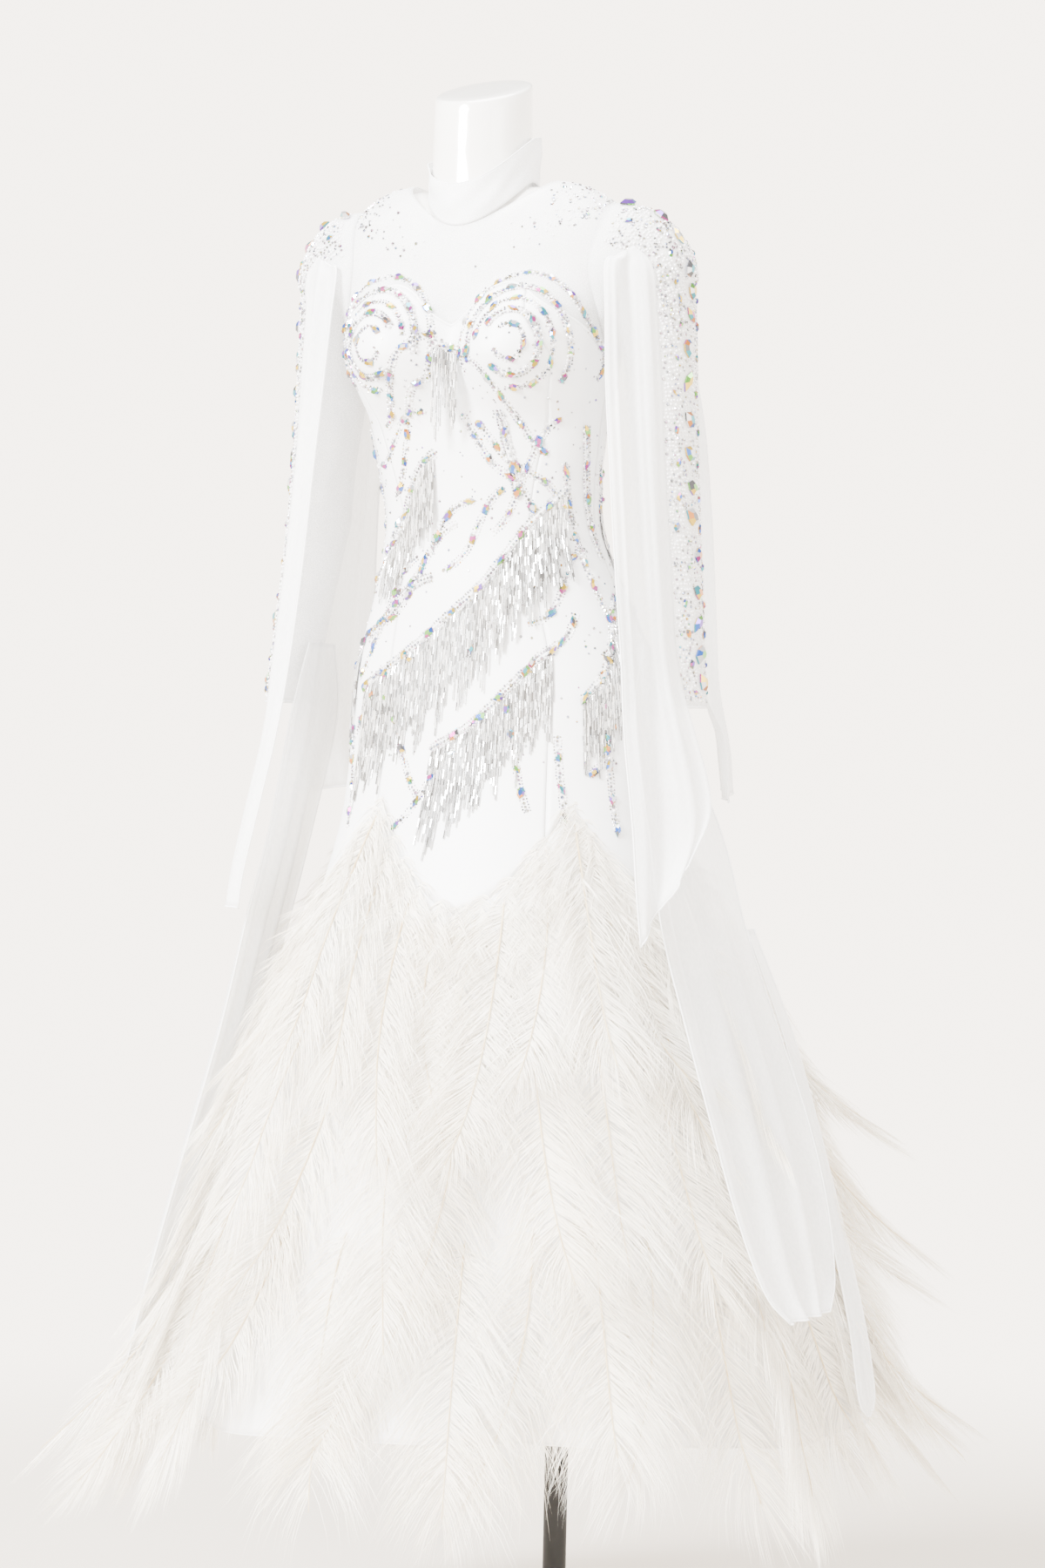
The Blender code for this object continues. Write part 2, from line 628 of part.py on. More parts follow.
ZIP_TOP, ZIP_BOTTOM = 1.570, 1.040
ZIP_WIDE = 5.0 * MM
TAPE = 1.2 * MM
SLIDER_Z = 1.560
SLIDER = (5.0 * MM, 2.6 * MM, 9 * MM)
PULL = (4.6 * MM, 1.6 * MM, 24 * MM)
PULL_GAP = 0.5 * MM


def level_at(angle, z):
    """The trunk's level at a height."""
    return share_at(angle, z) if z > CHEST_Z else 1 + (CHEST_Z - z) / (CHEST_Z - join_level(angle))


def zip_fastener():
    """The concealed zip down the back; its slider stands at the top and its pull tab hangs."""
    rows = []
    for z in steps(ZIP_TOP, ZIP_BOTTOM, 14):
        middle = trunk(180, level_at(180, z))
        rows.append([middle + Vector((x, 0, 0)) for x in (ZIP_WIDE / 2, -ZIP_WIDE / 2)])
    wall("zip_tape", rows, NYLON, thick=TAPE)
    above, below = (trunk(180, level_at(180, SLIDER_Z + rise)) for rise in (10 * MM, -10 * MM))
    lean = math.atan2(below.y - above.y, above.z - below.z)
    away = Vector((0, math.cos(lean), math.sin(lean)))
    down = Vector((0, math.sin(lean), -math.cos(lean)))
    seat = trunk(180, level_at(180, SLIDER_Z)) + away * (TAPE + SEAM)
    box("zip_slider", seat + away * SLIDER[1] / 2, SLIDER, ENAMEL, lean)
    seat += away * (SLIDER[1] + PULL_GAP + PULL[1] / 2)
    box("zip_pull", seat + down * PULL[2] / 2, PULL, ENAMEL, lean)


def box(name, middle, size, finish, lean=0.0):
    """A block whose lower end leans towards +Y by an angle in radians."""
    shape = bmesh.new()
    bmesh.ops.create_cube(shape, size=1)
    bmesh.ops.scale(shape, vec=size, verts=shape.verts)
    bmesh.ops.rotate(shape, cent=(0, 0, 0), matrix=Matrix.Rotation(lean, 3, "X"), verts=shape.verts)
    bmesh.ops.translate(shape, vec=middle, verts=shape.verts)
    mesh = bpy.data.meshes.new(name)
    shape.to_mesh(mesh)
    shape.free()
    return place(name, mesh, finish)


def front_point(dx, z, out):
    """The point of the front at a distance from the middle and a height, found by halving."""
    low, high = -88.0, 88.0
    for _ in range(24):
        half = (low + high) / 2
        found = surface(half, level_at(half, z), out)
        if found.x - along(SECTIONS, min(z, CHEST_Z))[3] < dx:
            low = half
        else:
            high = half
    return found


def at_height(angle, z, out):
    return surface(angle, level_at(angle, z), out)


LINE_WIDE, LINE_HIGH = 7 * MM, 2.6 * MM


def line_sections(inner, outer, width):
    """Four corners at each place along a raised line: inner and outer, upper and lower edge."""
    sections = []
    for i, (low, high) in enumerate(zip(inner, outer)):
        ahead = (inner[min(i + 1, len(inner) - 1)] - inner[max(i - 1, 0)]).normalized()
        raised = (high - low).normalized()
        side = raised.cross(ahead).normalized() * width / 2
        if side.z > 0:
            side = -side
        sections.append([low - side, high - side, high + side, low + side])
    return sections


def strip_mesh(name, sections, finish, strands=()):
    """A strip through four-cornered sections, with strands drawn out of its lower side.

    strands holds, for each stretch between two sections, the middles, widths and thicknesses of
    the strand's rings, or nothing.
    """
    shape = bmesh.new()
    rings = [[shape.verts.new(p) for p in section] for section in sections]
    shape.faces.new(rings[0])
    shape.faces.new(rings[-1][::-1])
    for i in range(len(rings) - 1):
        a, b = rings[i], rings[i + 1]
        for k in range(4):
            n = (k + 1) % 4
            quad = [a[k], b[k], b[n], a[n]]
            if k == 2 and i < len(strands) and strands[i]:
                loop = quad
                for ring_points in strands[i]:
                    new = [shape.verts.new(p) for p in ring_points]
                    for m in range(4):
                        o = (m + 1) % 4
                        shape.faces.new((loop[m], loop[o], new[o], new[m]))
                    loop = new
                shape.faces.new(loop)
            else:
                shape.faces.new(quad)
    bmesh.ops.recalc_face_normals(shape, faces=shape.faces)
    mesh = bpy.data.meshes.new(name)
    shape.to_mesh(mesh)
    shape.free()
    return place(name, mesh, finish)


def strand_rings(quad, middles, across, away, width, thick):
    """Rings of a strand; quad is the outer edge's two ends and then the inner edge's, turned back."""
    forward = math.copysign(1, (quad[1] - quad[0]).dot(across))
    corners = ((-forward, 1), (forward, 1), (forward, -1), (-forward, -1))
    return [[middle + across * a * wide / 2 + away * b * deep / 2 for a, b in corners]
            for middle, wide, deep in zip(middles, width, thick)]


def s_curve(first, last, count, swing):
    """Angles and heights from first to last, bending both ways by a swing in height."""
    found = []
    for t in steps(0, 1, count):
        found.append((mix(first[0], last[0], t),
                      mix(first[1], last[1], t) + swing * math.sin(math.tau * t)))
    return found


# Bead fringe: name, first angle and height, last angle and height, how many strands, their
# length at each end, and how far the line swings up and down on its way.
FRINGES = (("fringe_breast", (-4.5, 1.414), (4.5, 1.406), 4, 0.095, 0.075, 0.000),
           ("fringe_far_waist", (-10, 1.300), (-52, 1.195), 8, 0.085, 0.055, 0.008),
           ("fringe_great", (62, 1.262), (-50, 1.050), 20, 0.085, 0.130, 0.012),
           ("fringe_hip", (34, 1.090), (-10, 0.985), 10, 0.080, 0.120, 0.006),
           ("fringe_near_hip", (84, 1.150), (46, 1.040), 9, 0.110, 0.080, 0.006),
           ("fringe_far_hip", (-62, 1.100), (-88, 1.030), 6, 0.080, 0.070, 0.004),
           ("fringe_back_upper", (158, 1.370), (100, 1.250), 9, 0.100, 0.080, 0.010),
           ("fringe_back_waist", (-100, 1.290), (-166, 1.185), 10, 0.080, 0.110, 0.010),
           ("fringe_back_hip", (102, 1.150), (168, 1.030), 10, 0.080, 0.110, 0.010),
           ("fringe_back_low", (-104, 1.090), (-158, 0.990), 8, 0.080, 0.090, 0.006))
STRAND_WIDE, STRAND_THICK = 3.4 * MM, 1.8 * MM
STRAND_RINGS = (0.12, 1.0)  # shares of a strand's length
STRAND_CLEAR = 4.2 * MM     # a strand's middle hangs this far beyond the trims' own clearance
STRAND_START = 3 * MM       # below the strip
LINE_LIFT, BACK_LIFT = 0.2 * MM, 0.8 * MM   # lines' further lift, at the front and back


def hang(root, angle, length, away):
    """Middles of a strand's rings: it hangs down, clear of the cloth, from its root."""
    def needed(share):
        level = root.z - STRAND_START - length * share
        return (at_height(angle, level, TRIM + STRAND_CLEAR) - root).dot(away)

    near = max(0, needed(STRAND_RINGS[0]))
    far = max(near, max((needed(share) - near * (1 - share)) / share
                        for share in (0.3, 0.5, 0.75, 1.0)))
    return [Vector((root.x, root.y, root.z - STRAND_START - length * share)) + away * out
            for share, out in zip(STRAND_RINGS, (near, mix(near, far, STRAND_RINGS[1])))]


def fringes():
    for name, first, last, count, length_a, length_b, swing in FRINGES:
        path = s_curve(first, last, count, swing)
        under = TRIM + (BACK_LIFT if "back" in name else LINE_LIFT)
        sections = line_sections([at_height(a, z, under) for a, z in path],
                                 [at_height(a, z, under + LINE_HIGH) for a, z in path], LINE_WIDE)
        strands = []
        for i in range(count):
            a, b = sections[i], sections[i + 1]
            quad = [a[2], b[2], b[3], a[3]]
            root = sum(quad, Vector()) / 4
            angle = (path[i][0] + path[i + 1][0]) / 2
            away = Vector((turn(angle)[0], -turn(angle)[1], 0))
            across = Vector((-away.y, away.x, 0))
            t = (i + 0.5) / count
            length = mix(length_a, length_b, t) * (1 + 0.10 * math.sin(i * 2.4))
            middles = hang(root, angle, length, away)
            strands.append(strand_rings(quad, middles, across, away, (STRAND_WIDE,) * len(middles),
                                        (STRAND_THICK,) * len(middles)))
        strip_mesh(name, sections, BEADS, strands)


# Lines of stones without fringe: name, first and last angle and height, stretches, swing.
STONE_LINES = (("stone_line_breast_left", (20, 1.345), (30, 1.256), 10, -0.004),
               ("stone_line_waist_right", (-14, 1.168), (-56, 1.108), 9, 0.006),
               ("stone_line_side_left", (74, 1.330), (86, 1.190), 9, 0.004),
               ("stone_line_side_right", (-70, 1.330), (-84, 1.180), 9, -0.004),
               ("stone_line_back_left", (120, 1.420), (162, 1.400), 7, 0.006),
               ("stone_line_back_right", (-120, 1.420), (-162, 1.400), 7, 0.006))
ARC_SQUASH, ARC_LIFT, ARC_WIDE = 0.84, 1.25 * MM, 5.6 * MM
ARCS = ((0.060, -40, 190), (0.034, -130, 150))  # radius, first and last turn in degrees


def stone_lines():
    for name, first, last, count, swing in STONE_LINES:
        path = s_curve(first, last, count, swing)
        under = TRIM + (BACK_LIFT if "back" in name else LINE_LIFT)
        strip_mesh(name, line_sections([at_height(a, z, under) for a, z in path],
                                       [at_height(a, z, under + LINE_HIGH) for a, z in path],
                                       LINE_WIDE), STONES)
    under, over = TRIM + ARC_LIFT, TRIM + ARC_LIFT + LINE_HIGH
    for side, word in ((1, "left"), (-1, "right")):
        for number, (radius, first, last) in enumerate(ARCS):
            sections = []
            for a in steps(first, last, 16):
                across, up = side * turn(a)[1] * ARC_SQUASH, turn(a)[0]
                corners = []
                for far, out in ((-1, under), (-1, over), (1, over), (1, under)):
                    r = radius + far * ARC_WIDE / 2
                    corners.append(front_point(side * CUP_X + r * across, CUP_Z + r * up, out))
                sections.append(corners)
            strip_mesh("stone_arc_%s_%d" % (word, number + 1), sections, STONES)


# Plume tiers: level of the roots (2 is the join, 3 the hem), plumes, length, width, first angle,
# and how far the tips stand off.
TIERS = (("plume_tier_1", 2.030, 10, 0.285, 0.112, 6, 0.046),
         ("plume_tier_2", 2.300, 12, 0.300, 0.124, 20, 0.050),
         ("plume_tier_3", 2.640, 15, 0.275, 0.128, 8, 0.048))
# A plume from its root: share of the length, share of the width, thickness in millimetres.
PLUME_SHAPE = ((0.11, 0.46, 4.0), (0.33, 0.94, 6.0), (0.70, 0.90, 5.0), (1.00, 0.26, 2.4))
PLUME_ROOT = 4.0 * MM       # the roots' strip lies this far off the skirt
PLUME_STRIP_HIGH, PLUME_STRIP_THICK = 8 * MM, 2.4 * MM
UNDER_FLOATS = ((50, 108), (245, 310))  # degrees where floats hang over the plumes
PRESSED = 0.53              # share of the stand-off that is left to plumes under a float


def plumes():
    for name, level, count, length, wide, first, stand_off in TIERS:
        turns = [first + 360 * i / (2 * count) for i in range(2 * count)]
        side = Vector((0, 0, -PLUME_STRIP_HIGH / 2))
        sections = []
        for a in turns:
            low = trunk(a, level, CLOTH + PLUME_ROOT)
            high = trunk(a, level, CLOTH + PLUME_ROOT + PLUME_STRIP_THICK)
            sections.append([low - side, high - side, high + side, low + side])
        strands = []
        for i in range(2 * count - 1):
            if i % 2:
                strands.append(None)
                continue
            a, b = sections[i], sections[i + 1]
            quad = [a[2], b[2], b[3], a[3]]
            root = sum(quad, Vector()) / 4
            angle = (turns[i] + turns[i + 1]) / 2
            long = length * (1 + 0.10 * math.sin(i * 2.1))
            sway = 5 * math.sin(i * 1.7)
            under_float = any(low < angle % 360 < high for low, high in UNDER_FLOATS)
            stands = stand_off * (PRESSED if under_float else 1)
            middles = []
            for share, _, _ in PLUME_SHAPE:
                lean = angle + sway * share * share
                z = root.z - long * share * (1 - 0.06 * share)
                out = CLOTH + PLUME_ROOT + PLUME_STRIP_THICK + 0.6 * MM + stands * share ** 0.8
                middles.append(ring(lean, z, out))
            away = Vector((turn(angle)[0], -turn(angle)[1], 0))
            across = Vector((-away.y, away.x, 0))
            strands.append(strand_rings(quad, middles, across, away,
                                        [w * wide for _, w, _ in PLUME_SHAPE],
                                        [t * MM for _, _, t in PLUME_SHAPE]))
        strip_mesh(name, sections, PLUME, strands)


def main():
    start()
    yokes()
    bodice()
    skirts()
    collar()
    dress_form()
    sleeves()
    floats()
    learn_worn()
    zip_fastener()
    fringes()
    stone_lines()
    plumes()
    stand()


main()
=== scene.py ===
"""A white ballroom dress on a limbless form: cloth, stones, bead fringe and ostrich plumes.

Metres, +Z up. The dress faces -Y and the wearer's left is +X.
"""
import json
import math
import random

import bpy
import numpy as np
from mathutils import Euler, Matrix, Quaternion, Vector
from mathutils.bvhtree import BVHTree

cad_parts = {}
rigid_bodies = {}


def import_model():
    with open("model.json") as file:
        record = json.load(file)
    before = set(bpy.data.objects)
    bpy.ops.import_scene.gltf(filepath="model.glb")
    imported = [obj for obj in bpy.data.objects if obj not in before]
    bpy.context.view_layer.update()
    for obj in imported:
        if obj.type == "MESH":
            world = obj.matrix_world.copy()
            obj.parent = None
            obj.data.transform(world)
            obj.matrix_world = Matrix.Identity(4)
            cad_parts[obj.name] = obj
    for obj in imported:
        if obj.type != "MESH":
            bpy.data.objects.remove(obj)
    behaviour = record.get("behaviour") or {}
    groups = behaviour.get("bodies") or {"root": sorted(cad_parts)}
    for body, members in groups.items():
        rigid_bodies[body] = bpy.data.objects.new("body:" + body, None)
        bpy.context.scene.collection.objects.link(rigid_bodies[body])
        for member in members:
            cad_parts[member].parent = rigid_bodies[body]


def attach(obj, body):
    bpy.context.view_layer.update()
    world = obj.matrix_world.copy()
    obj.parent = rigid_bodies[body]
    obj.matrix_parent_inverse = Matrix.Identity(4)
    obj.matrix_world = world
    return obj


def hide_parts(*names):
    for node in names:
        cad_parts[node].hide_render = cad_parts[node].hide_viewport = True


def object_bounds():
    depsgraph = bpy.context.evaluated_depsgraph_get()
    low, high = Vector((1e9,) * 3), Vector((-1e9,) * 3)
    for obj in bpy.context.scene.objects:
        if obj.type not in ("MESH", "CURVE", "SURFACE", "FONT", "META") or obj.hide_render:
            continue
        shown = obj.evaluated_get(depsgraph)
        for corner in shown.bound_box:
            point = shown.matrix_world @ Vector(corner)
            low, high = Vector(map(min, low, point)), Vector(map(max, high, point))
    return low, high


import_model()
cad_low, cad_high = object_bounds()
bpy.ops.object.select_all(action="DESELECT")

MM = 0.001

# ---------------------------------------------------------------- the garment's own surfaces

CLOTH = 1.5 * MM
SEAM = 0.4 * MM             # clear gap between two sewn pieces
FORM_INSET = 4.5 * MM
CHEST_Z = 1.400             # level of the underarm
HEM_Z = 0.283
JOIN_Z, JOIN_RISE, JOIN_POINTS, JOIN_TURN = 0.810, 120 * MM, 5, 42
FOLDS, FOLD_DEPTH = 11, 11 * MM

# The trunk, level by level: height, half width, depth to front and back, middle, corner power.
SECTIONS = (
    (1.400, 0.146, 0.092, 0.095, -0.082, -0.060, 2.35),
    (1.330, 0.130, 0.086, 0.086, -0.079, -0.058, 2.3),
    (1.230, 0.119, 0.080, 0.080, -0.074, -0.054, 2.2),
    (1.150, 0.141, 0.090, 0.100, -0.067, -0.050, 2.2),
    (1.070, 0.166, 0.100, 0.122, -0.061, -0.046, 2.2),
    (0.980, 0.174, 0.112, 0.126, -0.060, -0.046, 2.1),
    (0.900, 0.184, 0.134, 0.140, -0.058, -0.045, 2.1),
    (0.750, 0.232, 0.200, 0.205, -0.053, -0.040, 2.0),
    (0.600, 0.282, 0.262, 0.265, -0.047, -0.035, 2.0),
    (0.450, 0.328, 0.315, 0.318, -0.042, -0.031, 2.0),
    (0.250, 0.378, 0.370, 0.370, -0.040, -0.030, 2.0),
)
NECK_X, NECK_Y, NECK_HALF, NECK_DEEP = -0.0950, -0.052, 0.058, 0.062
NECK_FRONT_Z, NECK_SIDE_Z, NECK_BACK_Z = 1.545, 1.597, 1.584
CUP_X, CUP_Z, CUP_R, CUP_OUT = 0.082, 1.413, 0.084, 0.046
SHOULDER_TIP, SHOULDER_WIDER, ARMHOLE = 0.40, 30 * MM, 30
SWEETHEART = ((0.0, 1.434), (0.12, 1.449), (0.28, 1.476), (0.46, 1.494), (0.62, 1.492),
              (0.78, 1.466), (0.91, 1.428), (1.0, CHEST_Z))
BACK_LINE = ((0.0, 1.452), (0.5, 1.436), (1.0, CHEST_Z))
PRINCESS_BUST, PRINCESS_HIP = 0.60, 0.36
YOKE_TOP, EDGE = 0.06, 0.003
SLIT = 3.2 * MM
SIDES = ((1, "left"), (-1, "right"))


def mix(a, b, share):
    return a + (b - a) * share


def smooth(share):
    share = min(max(share, 0.0), 1.0)
    return share * share * (3 - 2 * share)


def steps(first, last, count):
    return [mix(first, last, i / count) for i in range(count + 1)]


def along(table, key):
    """Read a table at a key in its first column, smoothly, whichever way the column runs."""
    rows = sorted(table)
    if key <= rows[0][0]:
        return rows[0][1:]
    if key >= rows[-1][0]:
        return rows[-1][1:]
    i = next(k for k in range(len(rows) - 1) if key <= rows[k + 1][0])
    before, low, high = rows[max(i - 1, 0)], rows[i], rows[i + 1]
    after = rows[min(i + 2, len(rows) - 1)]
    step = high[0] - low[0]
    t = (key - low[0]) / step
    found = []
    for c in range(1, len(low)):
        rise = (high[c] - before[c]) / (high[0] - before[0]) * step
        fall = (after[c] - low[c]) / (after[0] - low[0]) * step
        found.append(low[c] * (1 + 2 * t) * (1 - t) ** 2 + rise * t * (1 - t) ** 2
                     + high[c] * t * t * (3 - 2 * t) - fall * t * t * (1 - t))
    return tuple(found)


def turn(angle):
    """Sine and cosine of an angle in degrees; 0 is the front, 90 the wearer's left."""
    return math.sin(math.radians(angle)), math.cos(math.radians(angle))


def signed_power(value, power):
    return math.copysign(abs(value) ** power, value)


def fold_wave(angle, z):
    share = smooth((0.50 - z) / 0.24)
    wave = math.sin(math.radians(angle * FOLDS)) + 0.4 * math.sin(math.radians(angle * 4 + 50))
    return FOLD_DEPTH * share * wave


def ring(angle, z, out=0.0):
    """A point on the trunk or skirt at a level, moved out by a distance."""
    half, front, back, x, y, power = along(SECTIONS, z)
    s, c = turn(angle)
    out += fold_wave(angle, z)
    deep = (front if c > 0 else back) + out
    px = x + (half + out) * signed_power(s, 2 / power)
    py = y - deep * signed_power(c, 2 / power)
    return Vector((px, py - cup(px - x, z, c, out), z))


def cup(dx, z, facing, out=0.0):
    """How far the cups push the front out; a shell inside them is a smaller dome."""
    if facing <= 0:
        return 0.0
    push = 0.0
    for side in (-1, 1):
        far = math.hypot(dx - side * CUP_X, z - CUP_Z) / CUP_R
        if far < 1:
            push = max(push, CUP_OUT * (1 - far * far) ** 1.3)
    return push * smooth(facing * 3) * (1 + min(out, 0) / CUP_OUT)


def shoulder(angle, share, out=0.0):
    """A point on the shoulders: 0 is the neck, 1 the level of the underarm."""
    s, c = turn(angle)
    low = ring(angle, CHEST_Z, out)
    middle = along(SECTIONS, CHEST_Z)[3]
    low.y += cup(low.x - middle, CHEST_Z, c, out)
    near = Vector((NECK_X + (NECK_HALF + out) * s, NECK_Y - (NECK_DEEP + out) * c, 0))
    base = mix(NECK_SIDE_Z, NECK_FRONT_Z if c > 0 else NECK_BACK_Z, abs(c) ** 1.5)
    square = mix(1.25, 3.4, abs(s) ** 3)
    p = math.sin(share * math.pi / 2) ** (2 / square)
    q = math.cos(share * math.pi / 2) ** (2 / square)
    slope = 16 * MM * abs(s) ** 3 * math.sin(min(share, 1) * math.pi / 2) ** 2
    z = CHEST_Z + (base + out - CHEST_Z) * q - slope * q
    x, y = mix(near.x, low.x, p), mix(near.y, low.y, p)
    x += SHOULDER_WIDER * signed_power(s, 3) * math.sin(math.pi * share ** 1.3)
    return Vector((x, y - cup(x - middle, z, c, out), z))


def join_level(angle):
    """Height of the pointed join between bodice and skirt."""
    phase = ((angle - JOIN_TURN) * JOIN_POINTS / 360) % 1
    return JOIN_Z + JOIN_RISE * abs(2 * phase - 1) ** 1.4


def trunk(angle, level, out=0.0):
    """Level 0 to 1 runs from neck to underarm, 1 to 2 to the join, 2 to 3 to the hem."""
    if level < 1:
        return shoulder(angle, max(level, 0), out)
    if level <= 2:
        return ring(angle, mix(CHEST_Z, join_level(angle), level - 1), out)
    hem = HEM_Z + 7 * MM * math.sin(math.radians(3 * angle + 20))
    return ring(angle, mix(join_level(angle), hem, level - 2), out)


def share_at(angle, z):
    """Where on the shoulders the surface passes a height, found by halving."""
    low, high = 0.0, 1.0
    for _ in range(30):
        half = (low + high) / 2
        if shoulder(angle, half).z > z:
            low = half
        else:
            high = half
    return low


def level_at(angle, z):
    return share_at(angle, z) if z > CHEST_Z else 1 + (CHEST_Z - z) / (CHEST_Z - join_level(angle))


def armhole(level):
    """Half the armhole's opening at a level, in degrees."""
    share = (level - SHOULDER_TIP) / (1 - SHOULDER_TIP)
    return 0.0 if share <= 0 or share >= 1 else ARMHOLE * math.sin(math.pi * share) ** 0.6


SEAM_TURN = math.degrees(SEAM / 2 / SECTIONS[0][1])


def front_angle(share, level):
    """From -1 at the right side seam to 1 at the left one."""
    return share * (90 - armhole(level) - SEAM_TURN)


def back_angle(side, share, level, z):
    """From 0 at the zip to 1 at the side seam; side is 1 for the wearer's left."""
    slit = math.degrees(SLIT / along(SECTIONS, min(z, CHEST_Z))[2])
    return side * (180 - mix(slit, 90 - armhole(level) - SEAM_TURN, share))


def sweetheart(share):
    z = along(SWEETHEART, abs(share))[0]
    return 1.0 if z <= CHEST_Z else share_at(share * 90, z)


def back_line(share):
    z = along(BACK_LINE, share)[0]
    return 1.0 if z <= CHEST_Z else share_at(180 - share * 90, z)


def front_share(place, level, gap=0.0):
    """A place across the panels, from -1 to 1, as a share of the way to the side seam."""
    seam = mix(PRINCESS_BUST, PRINCESS_HIP, smooth((level - 0.9) / 0.6))
    far = abs(place)
    share = far * 2 * seam if far <= 0.5 else mix(seam, 1, far * 2 - 1)
    return math.copysign(share + gap * (1 - far) * 2 if far >= 0.5 else share, place)


# ---------------------------------------------------------------- finishes

class Amount:
    """A number in a shader that Python's operators work on."""

    def __init__(self, finish, socket):
        self.finish, self.socket = finish, socket

    def _sum(self, operation, first, second):
        return self.finish.node("Math", {"operation": operation}, {0: first, 1: second})

    def __add__(self, other):
        return self._sum("ADD", self, other)

    def __sub__(self, other):
        return self._sum("SUBTRACT", self, other)

    def __rsub__(self, other):
        return self._sum("SUBTRACT", other, self)

    def __mul__(self, other):
        return self._sum("MULTIPLY", self, other)

    def __pow__(self, other):
        return self._sum("POWER", self, other)

    __radd__, __rmul__ = __add__, __mul__


class Finish:
    """A material on the Principled shader; varying values are linked, the others are set."""

    def __init__(self, name, **plain):
        self.material = bpy.data.materials.new(name)
        self.material.use_nodes = True
        self.tree = self.material.node_tree
        self.shader = self.tree.nodes["Principled BSDF"]
        for socket, value in plain.items():
            self.shader.inputs[socket.replace("_", " ").title().replace("Ior", "IOR")
                               ].default_value = value

    def node(self, kind, settings, values, output=0):
        made = self.tree.nodes.new("ShaderNode" + kind)
        for name, value in settings.items():
            if name == "stops":
                ramp = made.color_ramp
                while len(ramp.elements) < len(value):
                    ramp.elements.new(0.5)
                for element, (place, colour) in zip(ramp.elements, value):
                    element.position, element.color = place, colour
            else:
                setattr(made, name, value)
        for socket, value in values.items():
            if isinstance(value, Amount):
                self.tree.links.new(value.socket, made.inputs[socket])
            else:
                made.inputs[socket].default_value = value
        return Amount(self, made.outputs[output])

    def place(self, kind="Object"):
        return self.node("TexCoord", {}, {}, kind)

    def noise(self, scale, detail=2.0, rough=0.5, at=None, stretch=None):
        where = at or self.place()
        if stretch:
            where = self.node("Mapping", {}, {"Vector": where, "Scale": stretch})
        return self.node("TexNoise", {}, {"Vector": where, "Scale": scale, "Detail": detail,
                                          "Roughness": rough})

    def ramp(self, amount, *stops):
        return self.node("ValToRGB", {"stops": stops}, {"Fac": amount})

    def shade(self, amount, dark, light):
        """From one colour to another as an amount goes from 0.3 to 0.7."""
        return self.ramp(amount, (0.3, (*dark, 1)), (0.7, (*light, 1)))

    def bump(self, height, strength, distance):
        self.link("Normal", self.node("Bump", {}, {"Height": height, "Strength": strength,
                                                   "Distance": distance}))

    def link(self, socket, amount):
        self.tree.links.new(amount.socket, self.shader.inputs[socket])


def net_finish(name, solid, holes):
    """Stretch net: a fine mesh whose threads and holes cover what is behind by two shares."""
    made = Finish(name, roughness=0.62, sheen_weight=0.25, sheen_roughness=0.5, ior=1.4)
    cells = made.node("TexVoronoi", {"feature": "DISTANCE_TO_EDGE"},
                      {"Vector": made.place(), "Scale": 620.0})
    open_share = made.node("MapRange", {"interpolation_type": "SMOOTHSTEP"},
                           {"Value": cells, "From Min": 0.06, "From Max": 0.22})
    bunch = made.noise(28.0, 3.0)
    made.link("Alpha", solid + (holes - solid) * open_share + 0.16 * (bunch - 0.5))
    made.link("Base Color", made.shade(bunch, (0.915, 0.913, 0.915), (0.945, 0.945, 0.945)))
    made.bump(open_share, -0.35, 0.3 * MM)
    return made.material


def satin_finish():
    made = Finish("white_stretch_satin", sheen_weight=0.35, sheen_roughness=0.35, ior=1.45)
    knit = made.node("TexWave", {"bands_direction": "Z", "wave_profile": "SIN"},
                     {"Vector": made.place(), "Scale": 260.0, "Distortion": 2.0, "Detail": 1.0,
                      "Detail Scale": 4.0})
    slub = made.noise(420.0, 2.0, stretch=(1.0, 1.0, 0.25))
    cloud = made.noise(9.0, 3.0)
    made.link("Base Color", made.shade(cloud, (0.885, 0.885, 0.895), (0.915, 0.915, 0.920)))
    made.link("Roughness", 0.36 + 0.10 * cloud + 0.06 * slub)
    made.bump(knit * 0.5 + slub, 0.22, 0.25 * MM)
    return made.material


def chiffon_finish(name, thin, thick):
    """Crisp sheer weave with a crepe grain; it closes up where threads gather."""
    made = Finish(name, roughness=0.66, sheen_weight=0.6, sheen_roughness=0.45, ior=1.4)
    crepe = made.noise(360.0, 3.0, 0.6, stretch=(1.0, 1.0, 0.35))
    drift = made.noise(16.0, 3.0, stretch=(1.0, 1.0, 0.3))
    made.link("Alpha", thin + (thick - thin) * (0.55 * crepe + 0.45 * drift))
    made.link("Base Color", made.shade(drift, (0.965, 0.965, 0.965), (0.985, 0.985, 0.985)))
    made.bump(crepe, 0.30, 0.3 * MM)
    return made.material


def barb_finish():
    made = Finish("ostrich_barb", roughness=0.85, sheen_weight=0.4, sheen_roughness=0.5, ior=1.35)
    tone = made.noise(9.0, 2.0)
    made.link("Base Color", made.shade(tone, (0.950, 0.880, 0.760), (0.970, 0.930, 0.850)))
    made.bump(made.noise(900.0, 2.0), 0.4, 0.2 * MM)
    return made.material


def quill_finish():
    made = Finish("ostrich_quill", ior=1.5)
    streak = made.noise(60.0, 3.0)
    made.link("Base Color", made.shade(streak, (0.58, 0.43, 0.22), (0.78, 0.66, 0.44)))
    made.link("Roughness", 0.42 + 0.2 * streak)
    made.bump(made.noise(700.0, 2.0), 0.2, 0.15 * MM)
    return made.material


